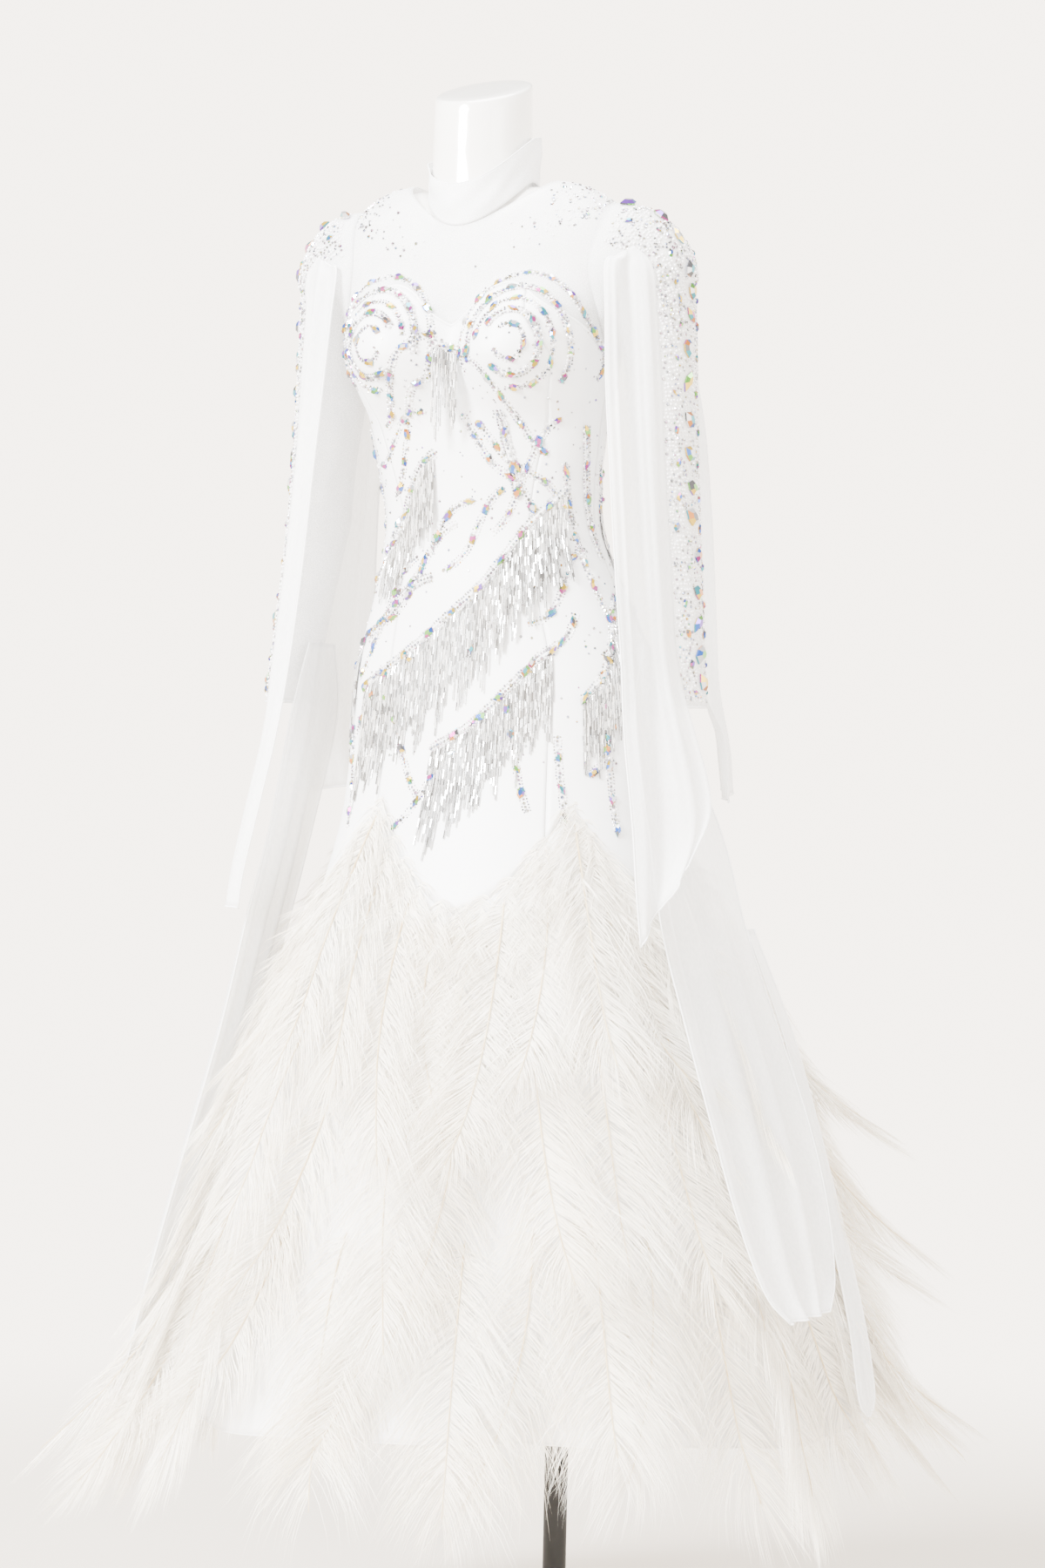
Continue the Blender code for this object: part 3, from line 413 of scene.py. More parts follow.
def glint_painted_finish(name, attribute, grain, **plain):
    """A finish whose colour lies in the mesh, facet by facet or bead by bead: painted reflections
    and glints, the dark ones painted shade.
    """
    made = Finish(name, **plain)
    # The colour attribute holds painted reflections and painted shade, face by face.
    painted_glint_colour = made.node("Attribute", {"attribute_name": attribute}, {}, "Color")
    made.link("Base Color", painted_glint_colour)
    made.link("Roughness", plain["roughness"] * 0.7 + plain["roughness"] * 0.8 * made.noise(grain))
    return made.material


def pearl_finish():
    made = Finish("pearl", coat_weight=0.8, coat_roughness=0.08, ior=1.6)
    cloud = made.noise(240.0, 2.0)
    made.link("Base Color", made.shade(cloud, (0.86, 0.83, 0.86), (0.95, 0.945, 0.93)))
    made.link("Roughness", 0.22 + 0.12 * cloud)
    return made.material


def shell_finish():
    made = Finish("gloss_ivory_shell", coat_weight=1.0, coat_roughness=0.03, ior=1.5)
    cloud = made.noise(5.0, 2.0)
    made.link("Base Color", made.shade(cloud, (0.840, 0.810, 0.765), (0.870, 0.845, 0.805)))
    made.link("Roughness", 0.14 + 0.10 * made.noise(30.0, 4.0))
    made.bump(made.noise(14.0, 1.0), 0.05, 1.0 * MM)
    return made.material


def enamel_finish(name, colour, rough, metallic):
    made = Finish(name, metallic=metallic, specular_ior_level=0.3)
    speck = made.noise(900.0, 3.0, 0.7)
    dust = made.noise(12.0, 4.0, 0.65)
    paler = tuple(mix(v, 0.35, 0.02) for v in colour)
    made.link("Base Color", made.shade(dust, colour, paler))
    made.link("Roughness", rough * 0.8 + 0.25 * rough * dust + 0.15 * rough * speck)
    made.bump(speck, 0.15, 0.1 * MM)
    return made.material


def nylon_finish():
    made = Finish("white_nylon_tape", roughness=0.5, sheen_weight=0.2)
    rib = made.node("TexWave", {"bands_direction": "Z"}, {"Vector": made.place(), "Scale": 330.0})
    # Darker in the rib's troughs and lighter on its crests: painted shade in the weave.
    made.link("Base Color", made.shade(rib, (0.88, 0.88, 0.89), (0.94, 0.94, 0.945)))
    made.bump(rib, 0.5, 0.2 * MM)
    return made.material


def floor_finish():
    """A plain warm floor that fades out into the pale room around it."""
    made = Finish("plain_floor", roughness=0.9, specular_ior_level=0.1)
    far = made.node("VectorMath", {"operation": "LENGTH"}, {"Vector": made.place()}, "Value")
    drift = made.noise(0.9, 2.0)
    made.link("Base Color", made.shade(drift, (0.720, 0.640, 0.550), (0.780, 0.710, 0.620)))
    fade = {"Value": far, "From Min": FLOOR_R * 0.3, "From Max": FLOOR_R * 0.97,
            "To Min": 1.0, "To Max": 0.0}
    made.link("Alpha", made.node("MapRange", {"interpolation_type": "SMOOTHSTEP"}, fade))
    made.bump(made.noise(300.0, 3.0), 0.05, 0.3 * MM)
    return made.material


SHEER = net_finish("sheer_stretch_net", 0.60, 0.38)
COLLAR_NET = net_finish("doubled_net", 0.96, 0.80)
SATIN = satin_finish()
CHIFFON = chiffon_finish("white_chiffon", 0.34, 0.78)
ORGANZA = chiffon_finish("petticoat_chiffon", 0.40, 0.85)
ROLLED = chiffon_finish("rolled_edge", 0.90, 1.0)
BARB, QUILL = barb_finish(), quill_finish()
CRYSTAL = glint_painted_finish("iridescent_crystal", "facet", 40.0, roughness=0.09, metallic=0.72,
                        coat_weight=1.0, coat_roughness=0.02, ior=1.6)
BUGLE = glint_painted_finish("silver_lined_bugle", "facet", 90.0, roughness=0.20, metallic=0.70,
                      coat_weight=0.8, coat_roughness=0.05, ior=1.55)
PEARL = pearl_finish()
SHELL = shell_finish()
BLACK = enamel_finish("black_enamel_steel", (0.003, 0.003, 0.003), 0.55, 0.0)
ENAMEL = enamel_finish("white_enamel_zinc", (0.86, 0.86, 0.87), 0.28, 0.1)
NYLON = nylon_finish()
FLOOR_R = 2.8
FLOOR = floor_finish()


# ---------------------------------------------------------------- making and seating pieces

MID = CLOTH / 2             # the scene's thinner cloth lies midway through the solid's wall
THIN = 0.8 * MM


def seat(made, slot, *nodes, body="dress"):
    """A finished piece rides on its body and stands for its nodes; slot is not used."""
    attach(made, body)
    if nodes:
        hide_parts(*nodes)
    return made


def mesh_piece(name, points, faces, finishes, which=None, smooth_shaded=True):
    mesh = bpy.data.meshes.new(name)
    mesh.from_pydata(points, [], faces)
    for finish in finishes:
        mesh.materials.append(finish)
    if which is not None:
        mesh.polygons.foreach_set("material_index", which)
    if smooth_shaded:
        mesh.shade_smooth()
    made = bpy.data.objects.new(name, mesh)
    bpy.context.scene.collection.objects.link(made)
    return made


def tube(points, radius, sides=6, closed=False):
    """Points and faces of a round edge that follows a path."""
    count = len(points)
    found, faces = [], []
    up = Vector((0.13, 0.21, 0.97)).normalized()
    for i, point in enumerate(points):
        ahead = points[(i + 1) % count] if closed or i < count - 1 else point
        behind = points[i - 1] if closed or i > 0 else point
        way = (ahead - behind).normalized()
        side = (up - way * up.dot(way)).normalized()
        up = side
        across = way.cross(side)
        found += [point + (side * math.cos(math.tau * k / sides)
                           + across * math.sin(math.tau * k / sides)) * radius
                  for k in range(sides)]
    for i in range(count if closed else count - 1):
        a, b = i * sides, (i + 1) % count * sides
        faces += [(a + k, a + (k + 1) % sides, b + (k + 1) % sides, b + k) for k in range(sides)]
    if not closed:
        faces += [tuple(range(sides))[::-1], tuple(range(len(found) - sides, len(found)))]
    return found, faces


def cloth(name, rows, finish, slot, nodes, closed=False, thick=THIN, edges="",
          edge_radius=0.9 * MM):
    """A thin shell through a grid of points, with rolled edges where edges names them.

    edges holds t, b, l or r for the top, bottom, left and right edge of the grid.
    """
    width, height = len(rows[0]), len(rows)
    faces = []
    for j in range(height - 1):
        for i in range(width if closed else width - 1):
            k = (i + 1) % width
            faces.append((j * width + i, (j + 1) * width + i, (j + 1) * width + k, j * width + k))
    made = mesh_piece(name, [p for row in rows for p in row], faces, [finish, ROLLED])
    solid = made.modifiers.new("thickness", "SOLIDIFY")
    solid.thickness, solid.offset = thick, 0
    bpy.context.view_layer.objects.active = made
    made.select_set(True)
    bpy.ops.object.modifier_apply(modifier="thickness")
    made.select_set(False)
    paths = {"t": rows[0], "b": rows[-1],
             "l": [row[0] for row in rows], "r": [row[-1] for row in rows]}
    if edges:
        points = [v.co.copy() for v in made.data.vertices]
        faces = [tuple(p.vertices) for p in made.data.polygons]
        which = [0] * len(faces)
        for edge in edges:
            more, around = tube(paths[edge], edge_radius, 5, closed and edge in "tb")
            faces += [tuple(v + len(points) for v in face) for face in around]
            points += more
            which += [1] * len(around)
        old = made.data
        bpy.data.objects.remove(made)
        bpy.data.meshes.remove(old)
        made = mesh_piece(name, points, faces, [finish, ROLLED], which)
    name in CUTS
    return seat(made, slot, *nodes)


# The cut of each cloth piece laid flat: metres across and down, square metres, how it is held
# and what carries it.
CUTS = {"yoke_net_front": (0.50, 0.28, 0.045, "stretched", "dress_form"),
        "yoke_net_back_left": (0.20, 0.28, 0.029, "stretched", "dress_form"),
        "yoke_net_back_right": (0.20, 0.28, 0.029, "stretched", "dress_form"),
        "bodice_satin_front": (0.38, 0.70, 0.125, "stretched", "dress_form"),
        "bodice_satin_side_left": (0.26, 0.65, 0.066, "stretched", "dress_form"),
        "bodice_satin_side_right": (0.26, 0.65, 0.066, "stretched", "dress_form"),
        "bodice_satin_back_left": (0.42, 0.66, 0.117, "stretched", "dress_form"),
        "bodice_satin_back_right": (0.42, 0.66, 0.117, "stretched", "dress_form"),
        "skirt_satin_front": (1.19, 0.71, 0.54, "hung", "bodice_front"),
        "skirt_satin_back": (1.19, 0.71, 0.55, "hung", "bodice_back_left"),
        "petticoat_chiffon_middle": (2.30, 0.34, 0.61, "hung", "skirt_front"),
        "petticoat_chiffon_inner": (2.25, 0.34, 0.60, "hung", "skirt_front"),
        "collar_net": (0.44, 0.06, 0.020, "gathered", "yoke_front"),
        "sleeve_net_left": (0.43, 0.60, 0.128, "hung", "yoke_front"),
        "sleeve_net_right": (0.43, 0.60, 0.128, "hung", "yoke_front"),
        "chiffon_float_left_front": (0.15, 0.74, 0.061, "hung", "sleeve_left"),
        "chiffon_float_left_back": (0.15, 0.58, 0.064, "hung", "sleeve_left"),
        "chiffon_float_left_long": (0.21, 0.78, 0.125, "hung", "sleeve_left"),
        "chiffon_float_left_strip": (0.06, 0.54, 0.027, "hung", "float_left_long"),
        "chiffon_float_right_front": (0.13, 0.71, 0.069, "hung", "sleeve_right"),
        "chiffon_float_right_back": (0.15, 0.58, 0.064, "hung", "sleeve_right"),
        "chiffon_float_right_long": (0.24, 0.88, 0.170, "hung", "sleeve_right")}


def creased(marks, across, down):
    """How far the listed troughs and ridges move a panel at a place on it."""
    push = 0.0
    for a0, d0, a1, d1, wide, deep in marks:
        run, fall = a1 - a0, d1 - d0
        t = ((across - a0) * run + (down - d0) * fall) / (run * run + fall * fall)
        t = min(max(t, 0.0), 1.0)
        far = math.hypot(across - a0 - t * run, down - d0 - t * fall) / wide
        if far < 2.2:
            push += deep * math.exp(-1.6 * far * far) * math.sin(math.pi * mix(0.12, 0.88, t))
    return push * MM


# Creases: where each starts and ends on its panel, across and down from 0 to 1, then its half
# width in the same measure and its depth in millimetres, below zero for a trough.
YOKE_CREASES = ((0.10, 0.86, 0.30, 0.62, 0.035, 0.8), (0.90, 0.86, 0.70, 0.62, 0.035, 0.8),
                (0.14, 0.95, 0.36, 0.80, 0.030, -0.5), (0.86, 0.95, 0.64, 0.80, 0.030, -0.5),
                (0.38, 0.10, 0.46, 0.55, 0.030, 0.4), (0.62, 0.10, 0.56, 0.50, 0.030, 0.4))
FRONT_CREASES = ((0.10, 0.44, 0.70, 0.48, 0.030, 0.6), (0.30, 0.52, 0.90, 0.49, 0.028, -0.5),
                 (0.05, 0.60, 0.45, 0.56, 0.035, 0.5), (0.62, 0.72, 0.95, 0.66, 0.040, 0.5))
SIDE_CREASES = ((0.10, 0.36, 0.90, 0.44, 0.030, 0.8), (0.20, 0.47, 0.95, 0.45, 0.028, -0.7),
                (0.05, 0.54, 0.70, 0.52, 0.030, 0.7), (0.30, 0.20, 0.95, 0.10, 0.040, 0.6))
BACK_CREASES = ((0.05, 0.38, 0.80, 0.43, 0.030, 0.9), (0.10, 0.46, 0.95, 0.49, 0.028, -0.8),
                (0.05, 0.55, 0.60, 0.53, 0.030, 0.8), (0.20, 0.12, 0.90, 0.05, 0.040, 0.6),
                (0.10, 0.70, 0.50, 0.66, 0.040, 0.6))
SKIRT_CREASES = ((0.12, 0.20, 0.10, 0.95, 0.018, 3.0), (0.27, 0.30, 0.28, 1.00, 0.015, -2.4),
                 (0.41, 0.15, 0.40, 0.90, 0.017, 2.6), (0.58, 0.25, 0.60, 1.00, 0.016, -2.6),
                 (0.72, 0.20, 0.71, 0.96, 0.018, 2.8), (0.88, 0.35, 0.90, 1.00, 0.015, -2.2))
SLEEVE_CREASES = ((0.36, 0.20, 0.60, 0.28, 0.05, 2.6), (0.40, 0.42, 0.66, 0.50, 0.05, -2.2),
                  (0.34, 0.55, 0.58, 0.64, 0.05, 2.4), (0.42, 0.72, 0.68, 0.80, 0.05, -2.0),
                  (0.30, 0.10, 0.46, 0.38, 0.04, 1.8), (0.56, 0.30, 0.70, 0.66, 0.04, 2.0))
FLOAT_CREASES = ((0.20, 0.10, 0.16, 0.95, 0.040, 2.6), (0.42, 0.18, 0.47, 1.00, 0.035, -2.8),
                 (0.63, 0.05, 0.60, 0.80, 0.040, 2.4), (0.80, 0.30, 0.84, 1.00, 0.035, -2.0),
                 (0.33, 0.45, 0.30, 1.00, 0.030, 2.0), (0.10, 0.50, 0.06, 1.00, 0.030, -1.6))


YOKE_ROWS, BODICE_ROWS, BACK_COLUMNS = 26, 56, 24       # steps down and across a panel


def yokes():
    columns = []
    for place in steps(-1, 1, 60):
        share = front_share(place, 0.8)
        levels = steps(YOKE_TOP, sweetheart(share) - EDGE, YOKE_ROWS)
        columns.append([trunk(front_angle(share, level), level,
                              MID + creased(YOKE_CREASES, (place + 1) / 2, j / YOKE_ROWS))
                        for j, level in enumerate(levels)])
    cloth("yoke_net_front", list(zip(*columns)), SHEER, "sheer_mesh", ["yoke_front"])
    for side, word in SIDES:
        columns = []
        for g in steps(0, 1, 26)[::side * -1]:
            levels = steps(YOKE_TOP, back_line(g) - EDGE, YOKE_ROWS)
            columns.append([trunk(back_angle(side, g, level, CHEST_Z), level, MID)
                            for level in levels])
        cloth("yoke_net_back_" + word, list(zip(*columns)), SHEER, "sheer_mesh",
              ["yoke_back_" + word], edges="r" if side < 0 else "l", edge_radius=0.7 * MM)


def skived(level):
    """The bodice's lower edge sinks a little, so that it lies flat against the skirt."""
    return MID - 0.9 * MM * smooth((level - 1.94) / 0.06)


def bodice():
    for name, first, last, marks in (("side_right", -1, -0.5, SIDE_CREASES),
                                     ("front", -0.5, 0.5, FRONT_CREASES),
                                     ("side_left", 0.5, 1, SIDE_CREASES)):
        wide = last - first
        gap = 0 if wide == 1 else SEAM_TURN / 90
        columns = []
        for place in steps(first, last, round(44 * wide)):
            top = sweetheart(front_share(place, 0.8))
            levels = [mix(top, 2 - EDGE, t) for t in steps(0, 1, BODICE_ROWS)]
            across = (place - first) / wide
            columns.append([trunk(front_angle(front_share(place, level, gap), level), level,
                                  skived(level) + creased(marks, across, j / BODICE_ROWS))
                            for j, level in enumerate(levels)])
        cloth("bodice_satin_" + name, list(zip(*columns)), SATIN, "stretch_satin",
              ["bodice_" + name], edges="t", edge_radius=1.5 * MM)
    for side, word in SIDES:
        columns = []
        for g in steps(0, 1, BACK_COLUMNS)[::side * -1]:
            column = []
            for j, level in enumerate(steps(back_line(g), 2 - EDGE, BODICE_ROWS)):
                z = mix(CHEST_Z, JOIN_Z, level - 1)
                column.append(trunk(back_angle(side, g, level, z), level,
                                    skived(level) + creased(BACK_CREASES, 1 - g, j / BODICE_ROWS)))
            columns.append(column)
        cloth("bodice_satin_back_" + word, list(zip(*columns)), SATIN, "stretch_satin",
              ["bodice_back_" + word], edges="t", edge_radius=1.5 * MM)


TUCK, TUCKED = 0.021, 1.3 * MM  # how far the skirt is tucked under the bodice: levels, depth
HEM_BAND = 0.978            # the hem's turning starts here, as a share of the skirt's length
PETTICOAT_WAVE, PETTICOAT_SPREAD = 5.4 * MM, 5.5
# Petticoats: name, how far inside the skirt at the top, how much lower the hem hangs, and how far
# the waves are shifted, in degrees of a wave.
PETTICOATS = (("middle", 2.2 * MM, 2 * MM, 0.0), ("inner", 4.4 * MM, 4 * MM, 16.0))


def skirts():
    down = steps(0, 0.96, 34) + [HEM_BAND, HEM_BAND + 0.002, 0.989, 1.0]
    for word, first in (("front", -90), ("back", 90)):
        rows = []
        for d in down:
            level = mix(2 - TUCK, 3, d)
            under = -TUCKED * (1 - smooth((level - 2 - TUCK) / 0.26))
            turned = 0.7 * MM if d > HEM_BAND else 0
            rows.append([trunk(mix(first + SEAM_TURN, first + 180 - SEAM_TURN, a), level,
                               under + MID + turned + creased(SKIRT_CREASES, a, d))
                         for a in steps(0, 1, 96)])
        cloth("skirt_satin_" + word, rows, SATIN, "stretch_satin", ["skirt_" + word], edges="b",
              edge_radius=1.0 * MM)


def petticoats():
    for word, inside, drop, phase in PETTICOATS:
        rows = []
        for t in steps(0, 1, 14):
            row = []
            for a in steps(-90, 270, 180)[:-1]:
                wave = PETTICOAT_WAVE * t * math.sin(math.radians(9 * a + phase))
                ripple = 0.9 * MM * t * math.sin(math.radians(45 * a + phase * 3))
                point = trunk(a, mix(2.5, 3, t),
                              wave + ripple - 0.5 * MM - inside * (1 + PETTICOAT_SPREAD * t))
                point.z -= drop * t * (1 + 0.5 * math.sin(math.radians(5 * a + phase)))
                row.append(point)
            rows.append(row)
        cloth("petticoat_chiffon_" + word, rows, ORGANZA, "chiffon", ["petticoat_" + word],
              closed=True, thick=0.5 * MM, edges="b")


COLLAR_HIGH, COLLAR_PEAK, COLLAR_PEAK_AT = 46 * MM, 13 * MM, 120
COLLAR_LOOSE, COLLAR_PUCKER, COLLAR_END = 1.5 * MM, 2.0 * MM, 178
COLLAR_SLIPS = 20 * MM      # the collar sinks this much at the wearer's right


def collar():
    rows = []
    for t in steps(1, 0, 16):
        row = []
        for a in steps(-COLLAR_END, COLLAR_END, 110):
            s, c = turn(a)
            behind = smooth((abs(a - 30) - 40) / 70)
            peak = (COLLAR_PEAK * behind * math.exp(-((a - COLLAR_PEAK_AT) / 45) ** 2)
                    - COLLAR_SLIPS * math.exp(-((a + 95) / 55) ** 2))
            pucker = COLLAR_PUCKER * behind * math.sin(math.radians(a * 8))
            slouch = 1.3 * MM * math.sin(math.pi * t) * math.sin(math.radians(3 * a + 200 * t))
            slouch += 0.8 * MM * math.sin(math.pi * t) * math.sin(math.radians(7 * a - 420 * t))
            loose = t * (COLLAR_LOOSE + pucker) + slouch + MID
            high = SEAM + (COLLAR_HIGH + peak) * t
            row.append(trunk(a, 0) + Vector((s * loose, -c * loose, high)))
        rows.append(row)
    cloth("collar_net", rows, COLLAR_NET, "sheer_mesh", ["collar"], edges="tlr",
          edge_radius=0.7 * MM)


NECK_TOP_Z, NECK_SLOPE, FORM_BOTTOM = 1.699, 0.374, 0.890
# The form's neck from its top's middle down: half width, half depth, millimetres below the edge.
NECK_RINGS = ((0.012, 0.012, -0.3), (0.030, 0.031, -0.2), (0.0475, 0.0485, 0.0),
              (0.0500, 0.0512, 0.5), (0.0518, 0.0528, 1.6), (0.0525, 0.0535, 3.2),
              (0.0527, 0.0539, 14), (0.0530, 0.0545, 30), (0.0533, 0.0553, 48),
              (0.0535, 0.0560, 65))
# Its rounded lower edge: height above the underside, how much further in.
FORM_EDGE = ((0.008, 4 * MM), (0.001, 9 * MM), (0.0, 15 * MM))


def dress_form():
    angles = steps(-180, 180, 96)[:-1]
    middle = Vector((NECK_X - 1.5 * MM, NECK_Y - 2 * MM, 0))

    def neck(angle, wide, deep, z):
        s, c = turn(angle)
        point = middle + Vector((wide * s, -deep * c, z))
        return point + Vector((0, 0, NECK_SLOPE * (point.y - middle.y) * smooth((z - 1.60) / 0.09)))

    rings = [[neck(a, wide, deep, NECK_TOP_Z - low * MM) for a in angles]
             for wide, deep, low in NECK_RINGS]
    for level in steps(0.0, 0.92, 23):
        rings.append([shoulder(a, level, -FORM_INSET - level * (3 + 8 * abs(turn(a)[0]) ** 4) * MM)
                      for a in angles])
    rings += [[ring(a, z, -FORM_INSET - 3 * MM * smooth((z - 1.3) / 0.1)) for a in angles]
              for z in steps(1.40, FORM_BOTTOM + 0.02, 24)]
    rings += [[Vector((p.x, p.y, FORM_BOTTOM + high)) for p in
               (ring(a, FORM_BOTTOM, -FORM_INSET - inside) for a in angles)]
              for high, inside in FORM_EDGE]
    width = len(angles)
    faces = [tuple(range(width))]
    for j in range(len(rings) - 1):
        faces += [(j * width + i, (j + 1) * width + i, (j + 1) * width + (i + 1) % width,
                   j * width + (i + 1) % width) for i in range(width)]
    faces.append(tuple(range((len(rings) - 1) * width, len(rings) * width))[::-1])
    made = mesh_piece("gloss_form", [p for points in rings for p in points], faces, [SHELL])
    seat(made, "ivory_shell", "dress_form")


def lathe(name, profile, finish, slot, node, sides=64):
    """A turned piece from its radius and height pairs, spun in edit mode from its outline."""
    mesh = bpy.data.meshes.new(name)
    mesh.from_pydata([(r, 0, z) for r, z in profile], [(i, i + 1) for i in range(len(profile) - 1)],
                     [])
    made = bpy.data.objects.new(name, mesh)
    bpy.context.scene.collection.objects.link(made)
    bpy.context.view_layer.objects.active = made
    made.select_set(True)
    bpy.ops.object.mode_set(mode="EDIT")
    bpy.ops.mesh.select_all(action="SELECT")
    bpy.ops.mesh.spin(steps=sides, angle=math.tau, center=(0, 0, 0), axis=(0, 0, 1))
    bpy.ops.mesh.select_all(action="SELECT")
    bpy.ops.mesh.remove_doubles(threshold=0.02 * MM)
    bpy.ops.mesh.normals_make_consistent(inside=False)
    bpy.ops.object.mode_set(mode="OBJECT")
    points, faces = taken(made)
    made = mesh_piece(name, points.tolist(), faces, [finish])
    bpy.context.view_layer.objects.active = made
    made.select_set(True)
    bpy.ops.object.shade_smooth_by_angle(angle=math.radians(35))
    made.select_set(False)
    return seat(made, slot, node)


POLE_R, BASE_R, BASE_HIGH = 12.7 * MM, 0.190, 12 * MM
# The base's outline from its middle over the top to the floor: radius and height.
BASE_OUTLINE = ((0, BASE_HIGH + 6 * MM), (0.039, BASE_HIGH + 6 * MM),
                (0.0405, BASE_HIGH + 5 * MM), (0.046, BASE_HIGH + 1 * MM),
                (BASE_R - 6 * MM, BASE_HIGH - 1 * MM), (BASE_R - 2.5 * MM, BASE_HIGH - 2.6 * MM),
                (BASE_R - 0.6 * MM, BASE_HIGH - 4.6 * MM), (BASE_R, BASE_HIGH - 6.4 * MM),
                (BASE_R, 2 * MM), (BASE_R - 0.6 * MM, 0.6 * MM), (BASE_R - 2 * MM, 0), (0, 0))


def stand():
    lathe("enamel_base", BASE_OUTLINE, BLACK, "black_enamel", "stand_base", 96)
    top, low = FORM_BOTTOM - 0.3 * MM, BASE_HIGH + 6.3 * MM
    lathe("enamel_pole", ((0, top), (POLE_R - 0.8 * MM, top), (POLE_R, top - 0.8 * MM),
                          (POLE_R, mix(low, top, 0.5)), (POLE_R, low), (0, low)), BLACK,
          "black_enamel", "stand_pole", 48)


# The left sleeve as it hangs: row, height, middle x and y, half thickness, half width.
SLEEVE = ((0, 1.470, 0.104, -0.044, 0.040, 0.047), (1, 1.400, 0.113, -0.042, 0.034, 0.045),
          (2, 1.310, 0.120, -0.042, 0.031, 0.043), (3, 1.220, 0.128, -0.044, 0.029, 0.040),
          (4, 1.120, 0.141, -0.050, 0.025, 0.035), (5, 1.035, 0.152, -0.056, 0.022, 0.030))
SLEEVE_ROWS = 5
MIRROR_X = -0.0825
BAND_RAISE = 2.0 * MM
LIFT = 0.9 * MM
TRIM = CLOTH + LIFT


def mirrored(point):
    return Vector((2 * MIRROR_X - point.x, point.y, point.z))


def armhole_point(side, phi):
    """Round an armhole's edge: 0 is the shoulder tip, 90 the back, 180 the underarm."""
    share = (1 - math.cos(math.radians(phi))) / 2
    level = mix(SHOULDER_TIP, 1, share)
    behind = 1 if 0 < phi % 360 < 180 else -1
    return trunk(side * (90 + behind * (armhole(level) + 0.85)), level, MID + 0.2 * MM)


def sleeve_point(side, phi, row, out=0.0):
    """A point on a sleeve, side 1 being the wearer's left; rows below 0 are in its cap."""
    s, c = turn(phi)
    band = BAND_RAISE * smooth((c - 0.35) / 0.25)
    index = min(max(row, 0), SLEEVE_ROWS)
    z, x, y, thin, wide = along(SLEEVE, index)
    tilt = (thin + out) * c * 0.55 * smooth(1 - index / 2)
    hung = Vector((x + (thin + out + band) * c, y + (wide + out) * s, z + tilt))
    if side < 0:
        hung = mirrored(hung)
    if row >= 0:
        return hung
    share = 1 + row
    first = armhole_point(side, phi)
    reach = 0.034 * (1 + c) / 2 + 0.010
    ahead, above = first + Vector((side * reach, 0, 0)), hung + Vector((0, 0, reach))
    point = (first * (1 - share) ** 3 + ahead * 3 * share * (1 - share) ** 2
             + above * 3 * share * share * (1 - share) + hung * share ** 3)
    away = Vector((0, s, c)) * (1 - share) + Vector((side * c, s, 0)) * share
    return point + away * (out + band * smooth(share * 3))


def sleeves():
    turns = steps(0, 360, 54)[:-1]
    for side, word in SIDES:
        rows = []
        for row in steps(-1, 0, 14)[:-1] + steps(0, SLEEVE_ROWS, 44):
            down = max(row, 0) / SLEEVE_ROWS
            rows.append([sleeve_point(side, phi, row,
                                      MID + creased(SLEEVE_CREASES, phi / 360, down))
                         for phi in turns[::side]])
        cloth("sleeve_net_" + word, rows, SHEER, "sheer_mesh", ["sleeve_" + word], closed=True,
              edges="b", edge_radius=1.1 * MM)


# The floats hang from the sleeve's seams and then free. Each row: the free edge, then the sewn
# edge, as a row of the sleeve or, below the sleeve's end, as a point.
FRONT_SEAM, BACK_SEAM = -62, 62
FLOAT_FRONT = (((0.095, -0.1035, 1.513), -0.52), ((0.088, -0.110, 1.507), -0.30),
               ((0.080, -0.118, 1.500), -0.10), ((0.083, -0.124, 1.450), 0.3),
               ((0.087, -0.128, 1.370), 1.3), ((0.096, -0.134, 1.280), 2.3),
               ((0.107, -0.142, 1.180), 3.4), ((0.122, -0.156, 1.080), 4.5),
               ((0.134, -0.170, 1.000), (0.186, -0.096, 1.005)),
               ((0.152, -0.186, 0.910), (0.205, -0.104, 0.955)),
               ((0.164, -0.200, 0.840), (0.213, -0.118, 0.920)),
               ((0.173, -0.206, 0.785), (0.208, -0.160, 0.870)))
FLOAT_BACK = (((0.080, 0.040, 1.500), -0.10), ((0.090, 0.060, 1.440), 0.4),
              ((0.108, 0.078, 1.350), 1.5), ((0.118, 0.088, 1.250), 2.6),
              ((0.124, 0.096, 1.140), 3.8), ((0.128, 0.102, 1.060), 4.7),
              ((0.132, 0.108, 0.990), (0.178, 0.002, 1.000)),
              ((0.136, 0.112, 0.950), (0.176, 0.020, 0.935)))
FLOAT_LONG = (((0.1166, -0.080, 1.100), (0.1166, -0.020, 1.100)),
              ((0.122, -0.112, 1.020), (0.124, 0.000, 1.020)),
              ((0.156, -0.150, 0.900), (0.172, 0.015, 0.900)),
              ((0.182, -0.172, 0.800), (0.204, 0.010, 0.800)),
              ((0.214, -0.178, 0.700), (0.248, -0.005, 0.700)),
              ((0.250, -0.188, 0.600), (0.296, -0.030, 0.600)),
              ((0.285, -0.200, 0.510), (0.330, -0.060, 0.520)),
              ((0.318, -0.206, 0.440), (0.352, -0.092, 0.450)),
              ((0.342, -0.196, 0.410), (0.362, -0.128, 0.418)))
FLOAT_STRIP = (((0.2046, 0.0108, 0.800), (0.197, 0.048, 0.800)),
               ((0.252, 0.008, 0.680), (0.246, 0.054, 0.680)),
               ((0.306, -0.014, 0.520), (0.302, 0.038, 0.520)),
               ((0.344, -0.034, 0.400), (0.346, 0.010, 0.400)),
               ((0.364, -0.050, 0.320), (0.368, -0.012, 0.330)),
               ((0.370, -0.040, 0.300), (0.372, -0.022, 0.305)))
